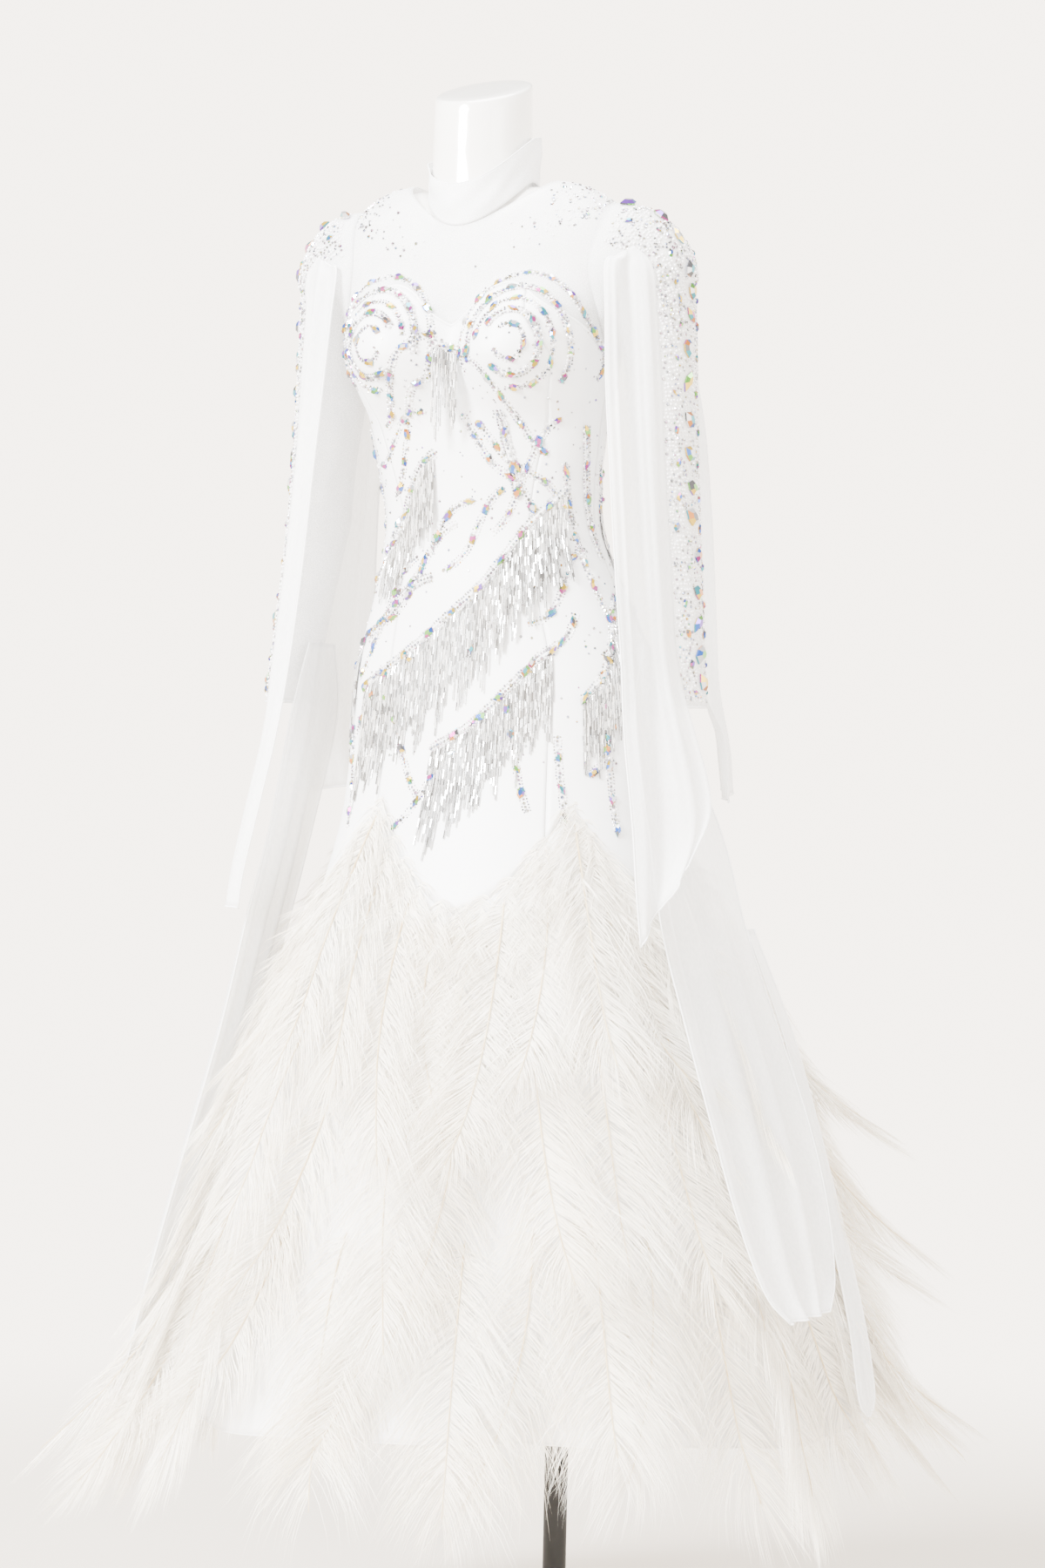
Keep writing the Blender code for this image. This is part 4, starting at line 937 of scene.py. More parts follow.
FAR_FRONT = (((-0.261, -0.1035, 1.513), -0.52), ((-0.250, -0.110, 1.507), -0.30),
             ((-0.240, -0.118, 1.500), -0.10), ((-0.244, -0.124, 1.450), 0.3),
             ((-0.250, -0.130, 1.370), 1.3), ((-0.255, -0.140, 1.280), 2.3),
             ((-0.260, -0.150, 1.180), 3.4), ((-0.268, -0.160, 1.080), 4.5),
             ((-0.276, -0.172, 1.000), (-0.324, -0.092, 1.005)),
             ((-0.288, -0.186, 0.920), (-0.340, -0.096, 0.930)),
             ((-0.300, -0.196, 0.850), (-0.350, -0.108, 0.860)),
             ((-0.306, -0.196, 0.810), (-0.346, -0.130, 0.815)))
FAR_LONG = (((-0.2816, -0.080, 1.100), (-0.2816, -0.020, 1.100)),
            ((-0.286, -0.112, 1.020), (-0.290, 0.005, 1.020)),
            ((-0.302, -0.130, 0.900), (-0.322, 0.015, 0.900)),
            ((-0.318, -0.150, 0.800), (-0.344, 0.008, 0.800)),
            ((-0.336, -0.172, 0.680), (-0.374, 0.000, 0.680)),
            ((-0.366, -0.196, 0.540), (-0.410, -0.012, 0.540)),
            ((-0.398, -0.214, 0.400), (-0.440, -0.024, 0.400)),
            ((-0.416, -0.224, 0.310), (-0.466, -0.040, 0.300)),
            ((-0.430, -0.200, 0.285), (-0.468, -0.060, 0.276)))


def chiffon_float(name, node, table, seam, far_side, folds, deep, fine, edges):
    """A hanging panel; its folds fade out towards the sewn edge."""
    hung = []
    for j, (free, sewn) in enumerate(table):
        if not isinstance(sewn, tuple):
            sewn = sleeve_point(-1 if far_side else 1, seam, sewn, TRIM + 0.2 * MM)
        hung.append((j, *free, *sewn))
    rows = []
    for down in steps(0, 1, 56):
        found = along(hung, down * (len(table) - 1))
        a, b = Vector(found[:3]), Vector(found[3:])
        across = (b - a).cross(Vector((0, 0, 1))).normalized()
        row = []
        for f in steps(0, 1, 26):
            fade = 1 - f ** 4
            wave = math.sin(math.pi * (folds * f + 0.4 * down)) * deep
            crimp = fine * (math.sin(math.pi * (folds * 2.3 * f + 1.1 * down + 0.3))
                            + 0.5 * math.sin(math.pi * (folds * 5.1 * f - 0.9 * down)))
            fold = (wave + crimp) * mix(0.1, 1.0, smooth(down * 3)) * fade
            fold += creased(FLOAT_CREASES, f, down) * fade * mix(0.3, 1, smooth(down * 2))
            row.append(a.lerp(b, f) + across * fold)
        rows.append(row)
    return cloth(name, rows, CHIFFON, "chiffon", [node], thick=0.5 * MM, edges=edges,
                 edge_radius=1.0 * MM)


def floats():
    mirrored_back = tuple((tuple(mirrored(Vector(free))), tuple(mirrored(Vector(sewn)))
                           if isinstance(sewn, tuple) else sewn) for free, sewn in FLOAT_BACK)
    for name, table, seam, far_side, folds, deep, fine, edges in (
            ("left_front", FLOAT_FRONT, FRONT_SEAM, False, 3, 7, 1.4, "lb"),
            ("left_back", FLOAT_BACK, BACK_SEAM, False, 3, 7, 1.4, "lb"),
            ("left_long", FLOAT_LONG, 0, False, 6, 6, 1.6, "lrb"),
            ("left_strip", FLOAT_STRIP, 0, False, 1, 3, 0.8, "lrb"),
            ("right_front", FAR_FRONT, FRONT_SEAM, True, 3, 7, 1.4, "lb"),
            ("right_back", mirrored_back, BACK_SEAM, True, 3, 7, 1.4, "lb"),
            ("right_long", FAR_LONG, 0, True, 7, 8, 1.8, "lrb")):
        chiffon_float("chiffon_float_" + name, "float_" + name, table, seam, far_side, folds,
                      deep * MM, fine * MM, edges)


# ---------------------------------------------------------------- the zip

ZIP_TOP, ZIP_BOTTOM, SLIDER_Z = 1.570, 1.040, 1.560
ZIP_WIDE, TAPE = 5.0 * MM, 1.2 * MM
SLIDER, PULL, PULL_GAP = (5.0 * MM, 2.6 * MM, 9 * MM), (4.6 * MM, 1.6 * MM, 24 * MM), 0.5 * MM


def block(name, size, rounding):
    """A block with rounded edges, bevelled in edit mode about its own middle."""
    bpy.ops.mesh.primitive_cube_add(size=1)
    made = bpy.context.active_object
    made.name = made.data.name = name
    made.scale = size
    bpy.ops.object.transform_apply(location=False, rotation=False, scale=True)
    bpy.ops.object.mode_set(mode="EDIT")
    bpy.ops.mesh.select_all(action="SELECT")
    bpy.ops.mesh.bevel(offset=rounding, segments=3)
    bpy.ops.object.mode_set(mode="OBJECT")
    return made


# The zip's tape from edge to edge: share of its width, share of its thickness that it stands out.
TAPE_ACROSS = ((0.5, 0.3), (0.3, 0.5), (0.08, 0.5), (0, 0.35), (-0.08, 0.5), (-0.3, 0.5),
               (-0.5, 0.3))
# A tooth's corners, in millimetres sideways, outwards and up, and its faces.
TEETH = 330
TOOTH = ((1.5, -0.3, -0.5), (-0.5, -0.3, -0.4), (-0.5, 0.3, -0.3), (1.5, 0.2, -0.4),
         (1.5, -0.3, 0.5), (-0.5, -0.3, 0.4), (-0.5, 0.3, 0.3), (1.5, 0.2, 0.4))
TOOTH_FACES = ((0, 1, 2, 3), (7, 6, 5, 4), (0, 4, 5, 1), (1, 5, 6, 2), (2, 6, 7, 3), (3, 7, 4, 0))


def zip_teeth(away):
    points, faces = [], []
    for i, z in enumerate(steps(SLIDER_Z - 6 * MM, ZIP_BOTTOM + 4 * MM, TEETH)):
        middle = trunk(180, level_at(180, z)) + away * TAPE * 0.75
        side = 1 if i % 2 else -1
        n = len(points)
        points += [middle + Vector((x * side * MM, y * MM, h * MM)) for x, y, h in TOOTH]
        faces += [tuple(n + v for v in (face if side < 0 else face[::-1])) for face in TOOTH_FACES]
    teeth = mesh_piece("zip_teeth", points, faces, [NYLON], smooth_shaded=False)
    seat(teeth, "white_nylon")


def zip_fastener():
    above, below = (trunk(180, level_at(180, SLIDER_Z + rise)) for rise in (10 * MM, -10 * MM))
    lean = math.atan2(below.y - above.y, above.z - below.z)
    away = Vector((0, math.cos(lean), math.sin(lean)))
    down = Vector((0, math.sin(lean), -math.cos(lean)))
    base = trunk(180, level_at(180, SLIDER_Z))
    rows = []
    for z in steps(ZIP_TOP, ZIP_BOTTOM, 90):
        middle = trunk(180, level_at(180, z))
        rows.append([middle + Vector((ZIP_WIDE * x, TAPE * deep, 0)) for x, deep in TAPE_ACROSS])
    cloth("zip_woven_tape", rows, NYLON, "white_nylon", ["zip_tape"], thick=0.5 * MM)
    zip_teeth(away)

    slider = block("zip_slider_body", SLIDER, 0.9 * MM)
    pull = block("zip_pull_tab", PULL, 0.7 * MM)
    for piece, place in ((slider, base + away * (TAPE + SEAM + SLIDER[1] / 2)),
                         (pull, base + away * (TAPE + SEAM + SLIDER[1] + PULL_GAP + PULL[1] / 2)
                          + down * PULL[2] / 2)):
        piece.location, piece.rotation_euler = place, (lean, 0, 0)
        piece.data.materials.append(ENAMEL)
        bpy.ops.object.select_all(action="DESELECT")
        piece.select_set(True)
        bpy.context.view_layer.objects.active = piece
        bpy.ops.object.transform_apply()
        bpy.ops.object.shade_smooth_by_angle(angle=math.radians(40))
        piece.select_set(False)
    seat(slider, "white_enamel", "zip_slider")
    seat(pull, "white_enamel", "zip_pull", body="zip_pull")


# ---------------------------------------------------------------- stones, pearls and beads

# Where each trim's random draws start, so that every run gives the same dress.
FRINGE_SEED, LINE_SEED, ARC_SEED, FLAT_SEED, LOOSE_SEED, BAND_SEED = 100, 200, 220, 300, 310, 400
PLUME_SEED, DOWN_SEED = 500, 560

worn = []                   # the outer faces of the worn cloth that trims lie on


def learn_worn():
    points, faces = [], []
    for thing in bpy.context.scene.objects:
        if thing.name.startswith(("yoke_net", "bodice_satin", "skirt_satin")):
            faces += [[v + len(points) for v in face.vertices] for face in thing.data.polygons]
            points += [v.co.copy() for v in thing.data.vertices]
    worn.append(BVHTree.FromPolygons(points, faces))


def laid(angle, z, out=0.0):
    """A point on the worn cloth's outer side and the way that the cloth faces there."""
    level = level_at(angle, z)
    here = trunk(angle, level)
    around = trunk(angle + 1, level) - trunk(angle - 1, level)
    fall = trunk(angle, level + 0.01) - trunk(angle, max(level - 0.01, 0))
    away = fall.cross(around).normalized()
    hit = worn[0].ray_cast(here + away * 30 * MM, -away, 60 * MM)[0] or here + away * CLOTH
    return hit + away * out, away


def outline(sides, turned=0.0, long=1.0, uneven=()):
    """Corners of a stone's outline, one across, with some drawn in or out."""
    found = []
    for i in range(sides):
        a = math.tau * (i + turned) / sides
        r = uneven[i % len(uneven)] if uneven else 1.0
        found.append((r * math.cos(a), r * math.sin(a) * long))
    return found


def cut_stone(corners, *rises):
    """A modelled stone: its outline is raised and drawn in, as far as its table."""
    bpy.ops.mesh.primitive_circle_add(vertices=len(corners), radius=1, fill_type="NGON")
    stone = bpy.context.active_object
    for vertex, (x, y) in zip(stone.data.vertices, corners):
        vertex.co = (x, y, 0)
    bpy.ops.object.mode_set(mode="EDIT")
    for high, draw in rises:
        bpy.ops.mesh.extrude_region_move(TRANSFORM_OT_translate={"value": (0, 0, high)})
        bpy.ops.transform.resize(value=(draw, draw, 1))
    bpy.ops.mesh.select_all(action="SELECT")
    bpy.ops.mesh.normals_make_consistent(inside=False)
    bpy.ops.object.mode_set(mode="OBJECT")
    return taken(stone)


def taken(shape):
    """A modelled shape's points and faces; the shape itself goes, since only copies are kept.

    Edit mode leaves them in an order that changes from run to run, so both are sorted by place.
    """
    mesh = shape.data
    places = [tuple(round(c, 6) for c in v.co) for v in mesh.vertices]
    order = sorted(range(len(places)), key=places.__getitem__)
    renumbered = {old: new for new, old in enumerate(order)}
    points = [tuple(mesh.vertices[old].co) for old in order]
    faces = []
    for polygon in mesh.polygons:
        face = [renumbered[v] for v in polygon.vertices]
        first = face.index(min(face))
        faces.append(tuple(face[first:] + face[:first]))
    bpy.data.objects.remove(shape)
    bpy.data.meshes.remove(mesh)
    return np.array(points), sorted(faces)


def dome():
    """A pearl with a flat back."""
    bpy.ops.mesh.primitive_uv_sphere_add(segments=6, ring_count=4, radius=1)
    pearl = bpy.context.active_object
    bpy.ops.object.mode_set(mode="EDIT")
    bpy.ops.mesh.select_all(action="SELECT")
    bpy.ops.mesh.bisect(plane_co=(0, 0, -0.15), plane_no=(0, 0, 1), clear_inner=True, use_fill=True)
    bpy.ops.object.mode_set(mode="OBJECT")
    return taken(pearl)


def bugle():
    """A bugle bead: a slim four-sided bar along Z."""
    bpy.ops.mesh.primitive_cylinder_add(vertices=4, radius=1, depth=1)
    return taken(bpy.context.active_object)


ROUND_STONE = cut_stone(outline(5), (0.60, 0.56))
NAVETTE = cut_stone(outline(6, 0.0, 0.62, (1.35, 0.95, 0.95)), (0.22, 1.0), (0.42, 0.52))
DROP = cut_stone(outline(7, 0.0, 0.80, (1.35, 1.0, 0.95, 0.85, 0.85, 0.95, 1.0)), (0.22, 1.0),
                 (0.42, 0.55))
COSMIC = cut_stone(outline(6, 0.3, 0.90, (1.15, 0.80, 1.05, 1.20, 0.78, 1.0)), (0.24, 1.0),
                   (0.46, 0.50))
PEARL_DOME, BUGLE_BAR = dome(), bugle()
BIG_CUTS = (COSMIC, NAVETTE, DROP, COSMIC)

# What a foiled stone's facets throw back, painted into each facet's colour as reflection, the near
# black ones as painted shade, and how often.
PAINTED_FLASHES = (((0.60, 0.60, 0.62), 4), ((0.08, 0.08, 0.09), 2), ((0.01, 0.09, 0.42), 3),
           ((0.00, 0.22, 0.28), 3), ((0.55, 0.36, 0.01), 4), ((0.48, 0.15, 0.01), 2),
           ((0.34, 0.02, 0.19), 2), ((0.13, 0.03, 0.36), 2), ((0.10, 0.32, 0.03), 2))
PAINTED_FLASH_COLOURS = [colour for colour, often in PAINTED_FLASHES for _ in range(often)]
# A small stone shows less colour than glitter, painted as reflection and shade: pale, grey, near
# black, rosy and straw.
PAINTED_GLITTER = ((0.62, 0.62, 0.63), (0.50, 0.50, 0.52), (0.16, 0.16, 0.17), (0.05, 0.05, 0.05),
           (0.34, 0.20, 0.28), (0.32, 0.28, 0.16), (0.16, 0.20, 0.34), (0.28, 0.28, 0.30))
# Painted glints and painted shade on the silver-lined bugle beads, drawn face by face: bright, grey
# and near black.
PAINTED_BEAD_GLINTS = ((0.78, 0.78, 0.78), (0.55, 0.55, 0.55), (0.30, 0.295, 0.285), (0.92, 0.91, 0.89),
              (0.14, 0.135, 0.13), (0.66, 0.66, 0.66))


def draw_strong(draw):
    """Now and then a small stone flashes as strongly as a large one, in painted reflections."""
    return draw.random() < 0.12


class Heap:
    """Many copies of small shapes that make one piece."""

    def __init__(self, seed):
        # Each face's painted reflection or painted shade colour, read by the glass finishes; pearls
        # and ridges get plain white.
        self.points, self.faces, self.which, self.painted_glints = [], [], [], []
        self.count, self.draw = 0, random.Random(seed)

    def add(self, shape, centre, away, size, finish, painted_glints, spin=0.0, heading=None):
        """Set a shape down, facing away from the cloth; finish 0 is glass, 1 is pearl."""
        points, faces = shape
        heading = heading or Vector((0, 0, 1))
        side = heading - away * heading.dot(away)
        side = side.normalized() if side.length > 1e-6 else away.orthogonal().normalized()
        across = away.cross(side)
        first = side * math.cos(spin) + across * math.sin(spin)
        second = away.cross(first)
        frame_of = np.array((first * size[0], second * size[1], away * size[2]))
        self.points.append(points @ frame_of + np.array(centre))
        for face in faces:
            self.faces.append(tuple(v + self.count for v in face))
            self.which.append(finish)
            self.painted_glints.append((*self.draw.choice(painted_glints), 1.0))
        self.count += len(points)

    def crystal(self, centre, away, across, big=False, heading=None, spin=None):
        shape = self.draw.choice(BIG_CUTS) if big else ROUND_STONE
        spin = self.draw.uniform(-0.5, 0.5) if spin is None else spin
        painted_glints = PAINTED_FLASH_COLOURS if big or draw_strong(self.draw) else PAINTED_GLITTER
        sizes = across / 2, across / 2, across / 2.2
        self.add(shape, centre, away, sizes, 0, painted_glints, spin, heading)

    def pearl(self, centre, away, across):
        self.add(PEARL_DOME, centre, away, (across / 2,) * 3, 1, ((1, 1, 1),))

    def piece(self, name, slot, nodes, finishes=(), attribute="facet", soft=(1,)):
        made = mesh_piece(name, np.concatenate(self.points).tolist(), self.faces,
                          finishes or [CRYSTAL, PEARL], self.which, False)
        # The faces' painted reflections and shade go into a colour attribute.
        layer = made.data.color_attributes.new(attribute, "FLOAT_COLOR", "CORNER")
        sides = [len(face) for face in self.faces]
        layer.data.foreach_set("color", np.repeat(np.array(self.painted_glints), sides, axis=0).ravel())
        made.data.polygons.foreach_set("use_smooth", [w in soft for w in self.which])
        return seat(made, slot, *nodes)


def s_curve(first, last, count, swing):
    """Angles and heights from first to last, bending both ways by a swing in height."""
    return [(mix(first[0], last[0], t), mix(first[1], last[1], t) + swing * math.sin(math.tau * t))
            for t in steps(0, 1, count)]


def even_walk(path, gap):
    """Places every gap along a path of (point, away) pairs, with the heading there."""
    found, carried = [], 0.0
    for (a, away_a), (b, away_b) in zip(path, path[1:]):
        length = (b - a).length
        while carried < length:
            t = carried / length
            found.append((a.lerp(b, t), away_a.lerp(away_b, t).normalized(), (b - a).normalized()))
            carried += gap
        carried -= length
    return found


LINE_GAP, SIDE_GAP = 4.3 * MM, 3.4 * MM     # from stone to stone, down the middle and beside it
GEM_SIZES = (9.5, 13.0)     # millimetres across a large stone of a line, least and most
GEM_CLEAR = 7.5 * MM        # no small stone sits nearer than this after a large one
LINE_SIZES = (3.4, 3.8, 4.4, 5.2)           # millimetres across a small stone of a line
SIDE_SIZES = (2.3, 3.1)
LINE_CRYSTALS, SIDE_PEARLS = 0.78, 0.4      # shares of the small stones
SIDE_LOWER = 0.3 * MM


def lay_line(heap, path, base, wide=4.6 * MM, big_every=31 * MM):
    """A line of crystals, the largest ones spaced out, with small stones on both sides."""
    draw = heap.draw
    since = draw.uniform(0, big_every)
    clear = 0.0
    for centre, away, heading in even_walk(path, LINE_GAP):
        since += LINE_GAP
        clear -= LINE_GAP
        if since > big_every:
            since = draw.uniform(-8, 8) * MM
            clear = GEM_CLEAR
            across = draw.uniform(*GEM_SIZES) * MM
            heap.crystal(centre + away * base, away, across, True, heading)
        elif clear <= 0:
            across = draw.choice(LINE_SIZES) * MM
            slip = away.cross(heading) * draw.uniform(-0.5, 0.5) * MM
            if draw.random() < LINE_CRYSTALS:
                heap.crystal(centre + away * base + slip, away, across)
            else:
                heap.pearl(centre + away * base + slip, away, across * 0.9)
    for side in (-1, 1):
        for centre, away, heading in even_walk(path, SIDE_GAP):
            off = away.cross(heading) * side * (wide + draw.uniform(-0.4, 0.4) * MM)
            across = draw.uniform(*SIDE_SIZES) * MM
            lay = heap.pearl if draw.random() < SIDE_PEARLS else heap.crystal
            lay(centre + off + away * (base - SIDE_LOWER), away, across)


RIDGE_STEP, RIDGE_SUNK = 6 * MM, 0.2        # the second in millimetres
RIDGE_SHAPE = ((-1.0, 0.0), (-0.75, 0.75), (0.75, 0.75), (1.0, 0.0))   # across and up, as shares


def padding(heap, path, under, wide):
    """The corded ridge under a line, so that its stones stand on something."""
    sections = [(centre - away * RIDGE_SUNK * MM, away, away.cross(heading))
                for centre, away, heading in even_walk(path, RIDGE_STEP)]
    start, count = heap.count, len(sections)
    points = [centre + side * x * wide + away * h * under for centre, away, side in sections
              for x, h in RIDGE_SHAPE]
    heap.points.append(np.array(points))
    heap.count += len(points)
    for i in range(count - 1):
        a, b = start + 4 * i, start + 4 * i + 4
        for k in range(4):
            n = (k + 1) % 4
            heap.faces.append((a + k, a + n, b + n, b + k))
    heap.faces += [tuple(start + k for k in (3, 2, 1, 0)),
                   tuple(start + 4 * (count - 1) + k for k in range(4))]
    new = 4 * (count - 1) + 2
    heap.which += [2] * new
    heap.painted_glints += [(1, 1, 1, 1)] * new


LINE_BASE = 1.6 * MM        # the stones of a raised line stand this far off the cloth
RIDGE_HALF, RIDGE_PROUD = 3.2 * MM, 0.4 * MM


def raised_line(heap, path, ridge_half=RIDGE_HALF, **spacing):
    """A line of stones on its own corded ridge."""
    padding(heap, path, LINE_BASE + RIDGE_PROUD, ridge_half)
    lay_line(heap, path, LINE_BASE, **spacing)


# Bead fringe: name, first angle and height, last angle and height, the strands' length at each
# end, and how far the line swings up and down on its way.
FRINGES = (("breast", (-4.5, 1.414), (4.5, 1.406), 0.095, 0.075, 0.000),
           ("far_waist", (-10, 1.300), (-52, 1.195), 0.085, 0.055, 0.008),
           ("great", (62, 1.262), (-50, 1.050), 0.085, 0.130, 0.012),
           ("hip", (34, 1.090), (-10, 0.985), 0.080, 0.120, 0.006),
           ("near_hip", (84, 1.150), (46, 1.040), 0.110, 0.080, 0.006),
           ("far_hip", (-62, 1.100), (-88, 1.030), 0.080, 0.070, 0.004),
           ("back_upper", (158, 1.370), (100, 1.250), 0.100, 0.080, 0.010),
           ("back_waist", (-100, 1.290), (-166, 1.185), 0.080, 0.110, 0.010),
           ("back_hip", (102, 1.150), (168, 1.030), 0.080, 0.110, 0.010),
           ("back_low", (-104, 1.090), (-158, 0.990), 0.080, 0.090, 0.006))
STRAND_GAP, BEAD_LONG, BEAD_GAP, BEAD_R = 2.1 * MM, 9.0 * MM, 0.4 * MM, 0.80 * MM
STRAND_SHARES = (0.6, 1.0, 1.0, 1.0)        # now and then a bead is a short one
STRAND_CLEAR = 2.2 * MM     # a strand hangs at least this far off the cloth


def hang(heap, root, angle, length):
    """Thread bugle beads down from a root, clear of the cloth below it."""
    away = Vector((turn(angle)[0], -turn(angle)[1], 0))
    out = 0.0
    z = root.z - 2 * MM
    swing = heap.draw.uniform(-0.6, 0.6) * MM
    count = int(length / (BEAD_LONG + BEAD_GAP))
    for i in range(count):
        long = BEAD_LONG * heap.draw.choice(STRAND_SHARES)
        low = z - long
        needed = (laid(angle, low, STRAND_CLEAR)[0] - root).dot(away)
        before, out = out, max(out, needed)
        top = root + away * before + Vector((0, 0, z - root.z))
        bottom = root + away * out + Vector((0, 0, low - root.z))
        drift = Vector((-away.y, away.x, 0)) * swing * (i / count)
        axis = (top - bottom).normalized()
        size = (BEAD_R, BEAD_R, (top - bottom).length)
        heap.add(BUGLE_BAR, (top + bottom) / 2 + drift, axis, size, 3, PAINTED_BEAD_GLINTS,
                 heap.draw.uniform(0, 1.5), away)
        z = low - BEAD_GAP


def fringes():
    finishes = [CRYSTAL, PEARL, SATIN, BUGLE]
    for number, (name, first, last, long_a, long_b, swing) in enumerate(FRINGES):
        heap = Heap(FRINGE_SEED + number)
        path = [laid(a, z) for a, z in s_curve(first, last, 40, swing)]
        length = sum((b[0] - a[0]).length for a, b in zip(path, path[1:]))
        raised_line(heap, path)
        count = int(length / STRAND_GAP)
        for i in range(count):
            t = (i + 0.5) / count
            angle, z = s_curve(first, last, count * 2, swing)[2 * i + 1]
            root = laid(angle, z - 2.5 * MM, 1.4 * MM)[0]
            ragged = 1 + 0.16 * math.sin(i * 0.55) + heap.draw.uniform(-0.10, 0.10)
            hang(heap, root, angle, mix(long_a, long_b, t) * ragged)
        heap.piece("bead_fringe_" + name, "bugle_beads", ["fringe_" + name], finishes,
                   soft=(1, 2))


# Lines of stones without fringe: name, first and last angle and height, swing.
STONE_LINES = (("breast_left", (20, 1.345), (30, 1.256), -0.004),
               ("waist_right", (-14, 1.168), (-56, 1.108), 0.006),
               ("side_left", (74, 1.330), (86, 1.190), 0.004),
               ("side_right", (-70, 1.330), (-84, 1.180), -0.004),
               ("back_left", (120, 1.420), (162, 1.400), 0.006),
               ("back_right", (-120, 1.420), (-162, 1.400), 0.006))
ARC_SQUASH = 0.84
ARCS = ((0.060, -40, 190), (0.034, -130, 150))  # radius, first and last turn in degrees


def front_point(dx, z):
    """The front cloth at a distance from its middle and a height, met square from ahead."""
    start = Vector((along(SECTIONS, min(z, CHEST_Z))[3] + dx, -0.6, z))
    return worn[0].ray_cast(start, Vector((0, 1, 0)), 0.8)[:2]


def cup_ring(side, radius, first, last):
    """A flattened ring round a cup's middle, as far as it meets the cloth."""
    path = []
    for a in steps(first, last, 60):
        dx = side * (CUP_X + radius * turn(a)[1] * ARC_SQUASH)
        hit, away = front_point(dx, CUP_Z + radius * turn(a)[0])
        if hit is not None:
            path.append((hit, away))
    return path


def stone_lines():
    finishes = [CRYSTAL, PEARL, SATIN]
    for number, (name, first, last, swing) in enumerate(STONE_LINES):
        heap = Heap(LINE_SEED + number)
        path = [laid(a, z) for a, z in s_curve(first, last, 30, swing)]
        raised_line(heap, path)
        heap.piece("stones_" + name, "crystal_stones", ["stone_line_" + name], finishes,
                   soft=(1, 2))
    for side, word in SIDES:
        for number, (radius, first, last) in enumerate(ARCS):
            heap = Heap(ARC_SEED + 10 * side + number)
            name = "arc_%s_%d" % (word, number + 1)
            raised_line(heap, cup_ring(side, radius, first, last), 2.6 * MM, wide=3.6 * MM,
                        big_every=26 * MM)
            heap.piece("stones_" + name, "crystal_stones", ["stone_" + name], finishes,
                       soft=(1, 2))


# Lines laid flat on the satin: first and last angle and height, swing.
FLAT_LINES = (((-4, 1.425), (-40, 1.330), 0.010), ((4, 1.400), (48, 1.300), 0.012),
              ((-6, 1.380), (-44, 1.255), 0.014), ((10, 1.330), (66, 1.225), -0.010),
              ((3, 1.340), (44, 1.215), -0.012), ((-12, 1.345), (-56, 1.290), 0.008),
              ((-30, 1.240), (-78, 1.160), 0.008), ((6, 1.250), (-36, 1.150), 0.012),
              ((60, 1.290), (72, 1.120), 0.006), ((22, 1.262), (-8, 1.175), 0.008),
              ((40, 1.190), (0, 1.080), -0.010), ((70, 1.200), (26, 1.120), 0.010),
              ((-20, 1.080), (-70, 0.990), 0.012), ((60, 1.090), (88, 0.990), -0.008),
              ((14, 1.040), (26, 0.920), 0.006), ((-34, 1.040), (-12, 0.930), 0.006),
              ((56, 1.060), (62, 0.900), 0.006), ((52, 1.335), (14, 1.215), 0.012),
              ((-2, 1.225), (-40, 1.120), 0.010), ((50, 1.130), (20, 1.060), -0.006),
              ((76, 1.080), (50, 0.960), 0.010), ((-24, 1.190), (-60, 1.060), 0.012),
              ((0, 0.985), (-22, 0.900), 0.006), ((36, 1.000), (40, 0.900), -0.004),
              ((-62, 1.010), (-50, 0.900), -0.006),
              ((100, 1.380), (150, 1.290), 0.012), ((-100, 1.370), (-150, 1.300), 0.012),
              ((104, 1.200), (160, 1.240), 0.014), ((-106, 1.180), (-160, 1.120), 0.012),
              ((110, 1.060), (160, 0.990), 0.010), ((-104, 1.010), (-140, 0.950), 0.008),
              ((96, 1.300), (112, 1.160), 0.008), ((-96, 1.280), (-112, 1.150), 0.008))


# Rings of stones laid flat on each cup: radius, first and last turn, half width.
FLAT_ARCS = ((0.077, -25, 205, 3.2 * MM), (0.047, -100, 170, 2.8 * MM),
             (0.019, -150, 130, 2.4 * MM))
FLAT_WIDE, ARC_GEMS, FLAT_GEMS = 3.6 * MM, 28 * MM, 30 * MM     # half width; from gem to gem


def flat_lines():
    heap = Heap(FLAT_SEED)
    for side, _ in SIDES:
        for radius, first, last, wide in FLAT_ARCS:
            lay_line(heap, cup_ring(side, radius, first, last), 0.0, wide, ARC_GEMS)
    for first, last, swing in FLAT_LINES:
        path = [laid(a, z) for a, z in s_curve(first, last, 36, swing)]
        lay_line(heap, path, 0.0, FLAT_WIDE, FLAT_GEMS)
    heap.piece("stones_flat_lines", "crystal_stones", [])


LOOSE_STONES, LOOSE_SIZES, LOOSE_SPAN = 760, (2.2, 2.6, 3.0, 3.6), (0.965, 1.43)
ZIP_CLEAR = 176             # no stone lies further round than this, where the zip is
CROWD_DRAWS, CROWD_SIZES = 900, (2.4, 3.0, 3.6, 4.6)
CROWD_PEARLS, CROWD_CRYSTALS = (2.0, 2.8), 0.55


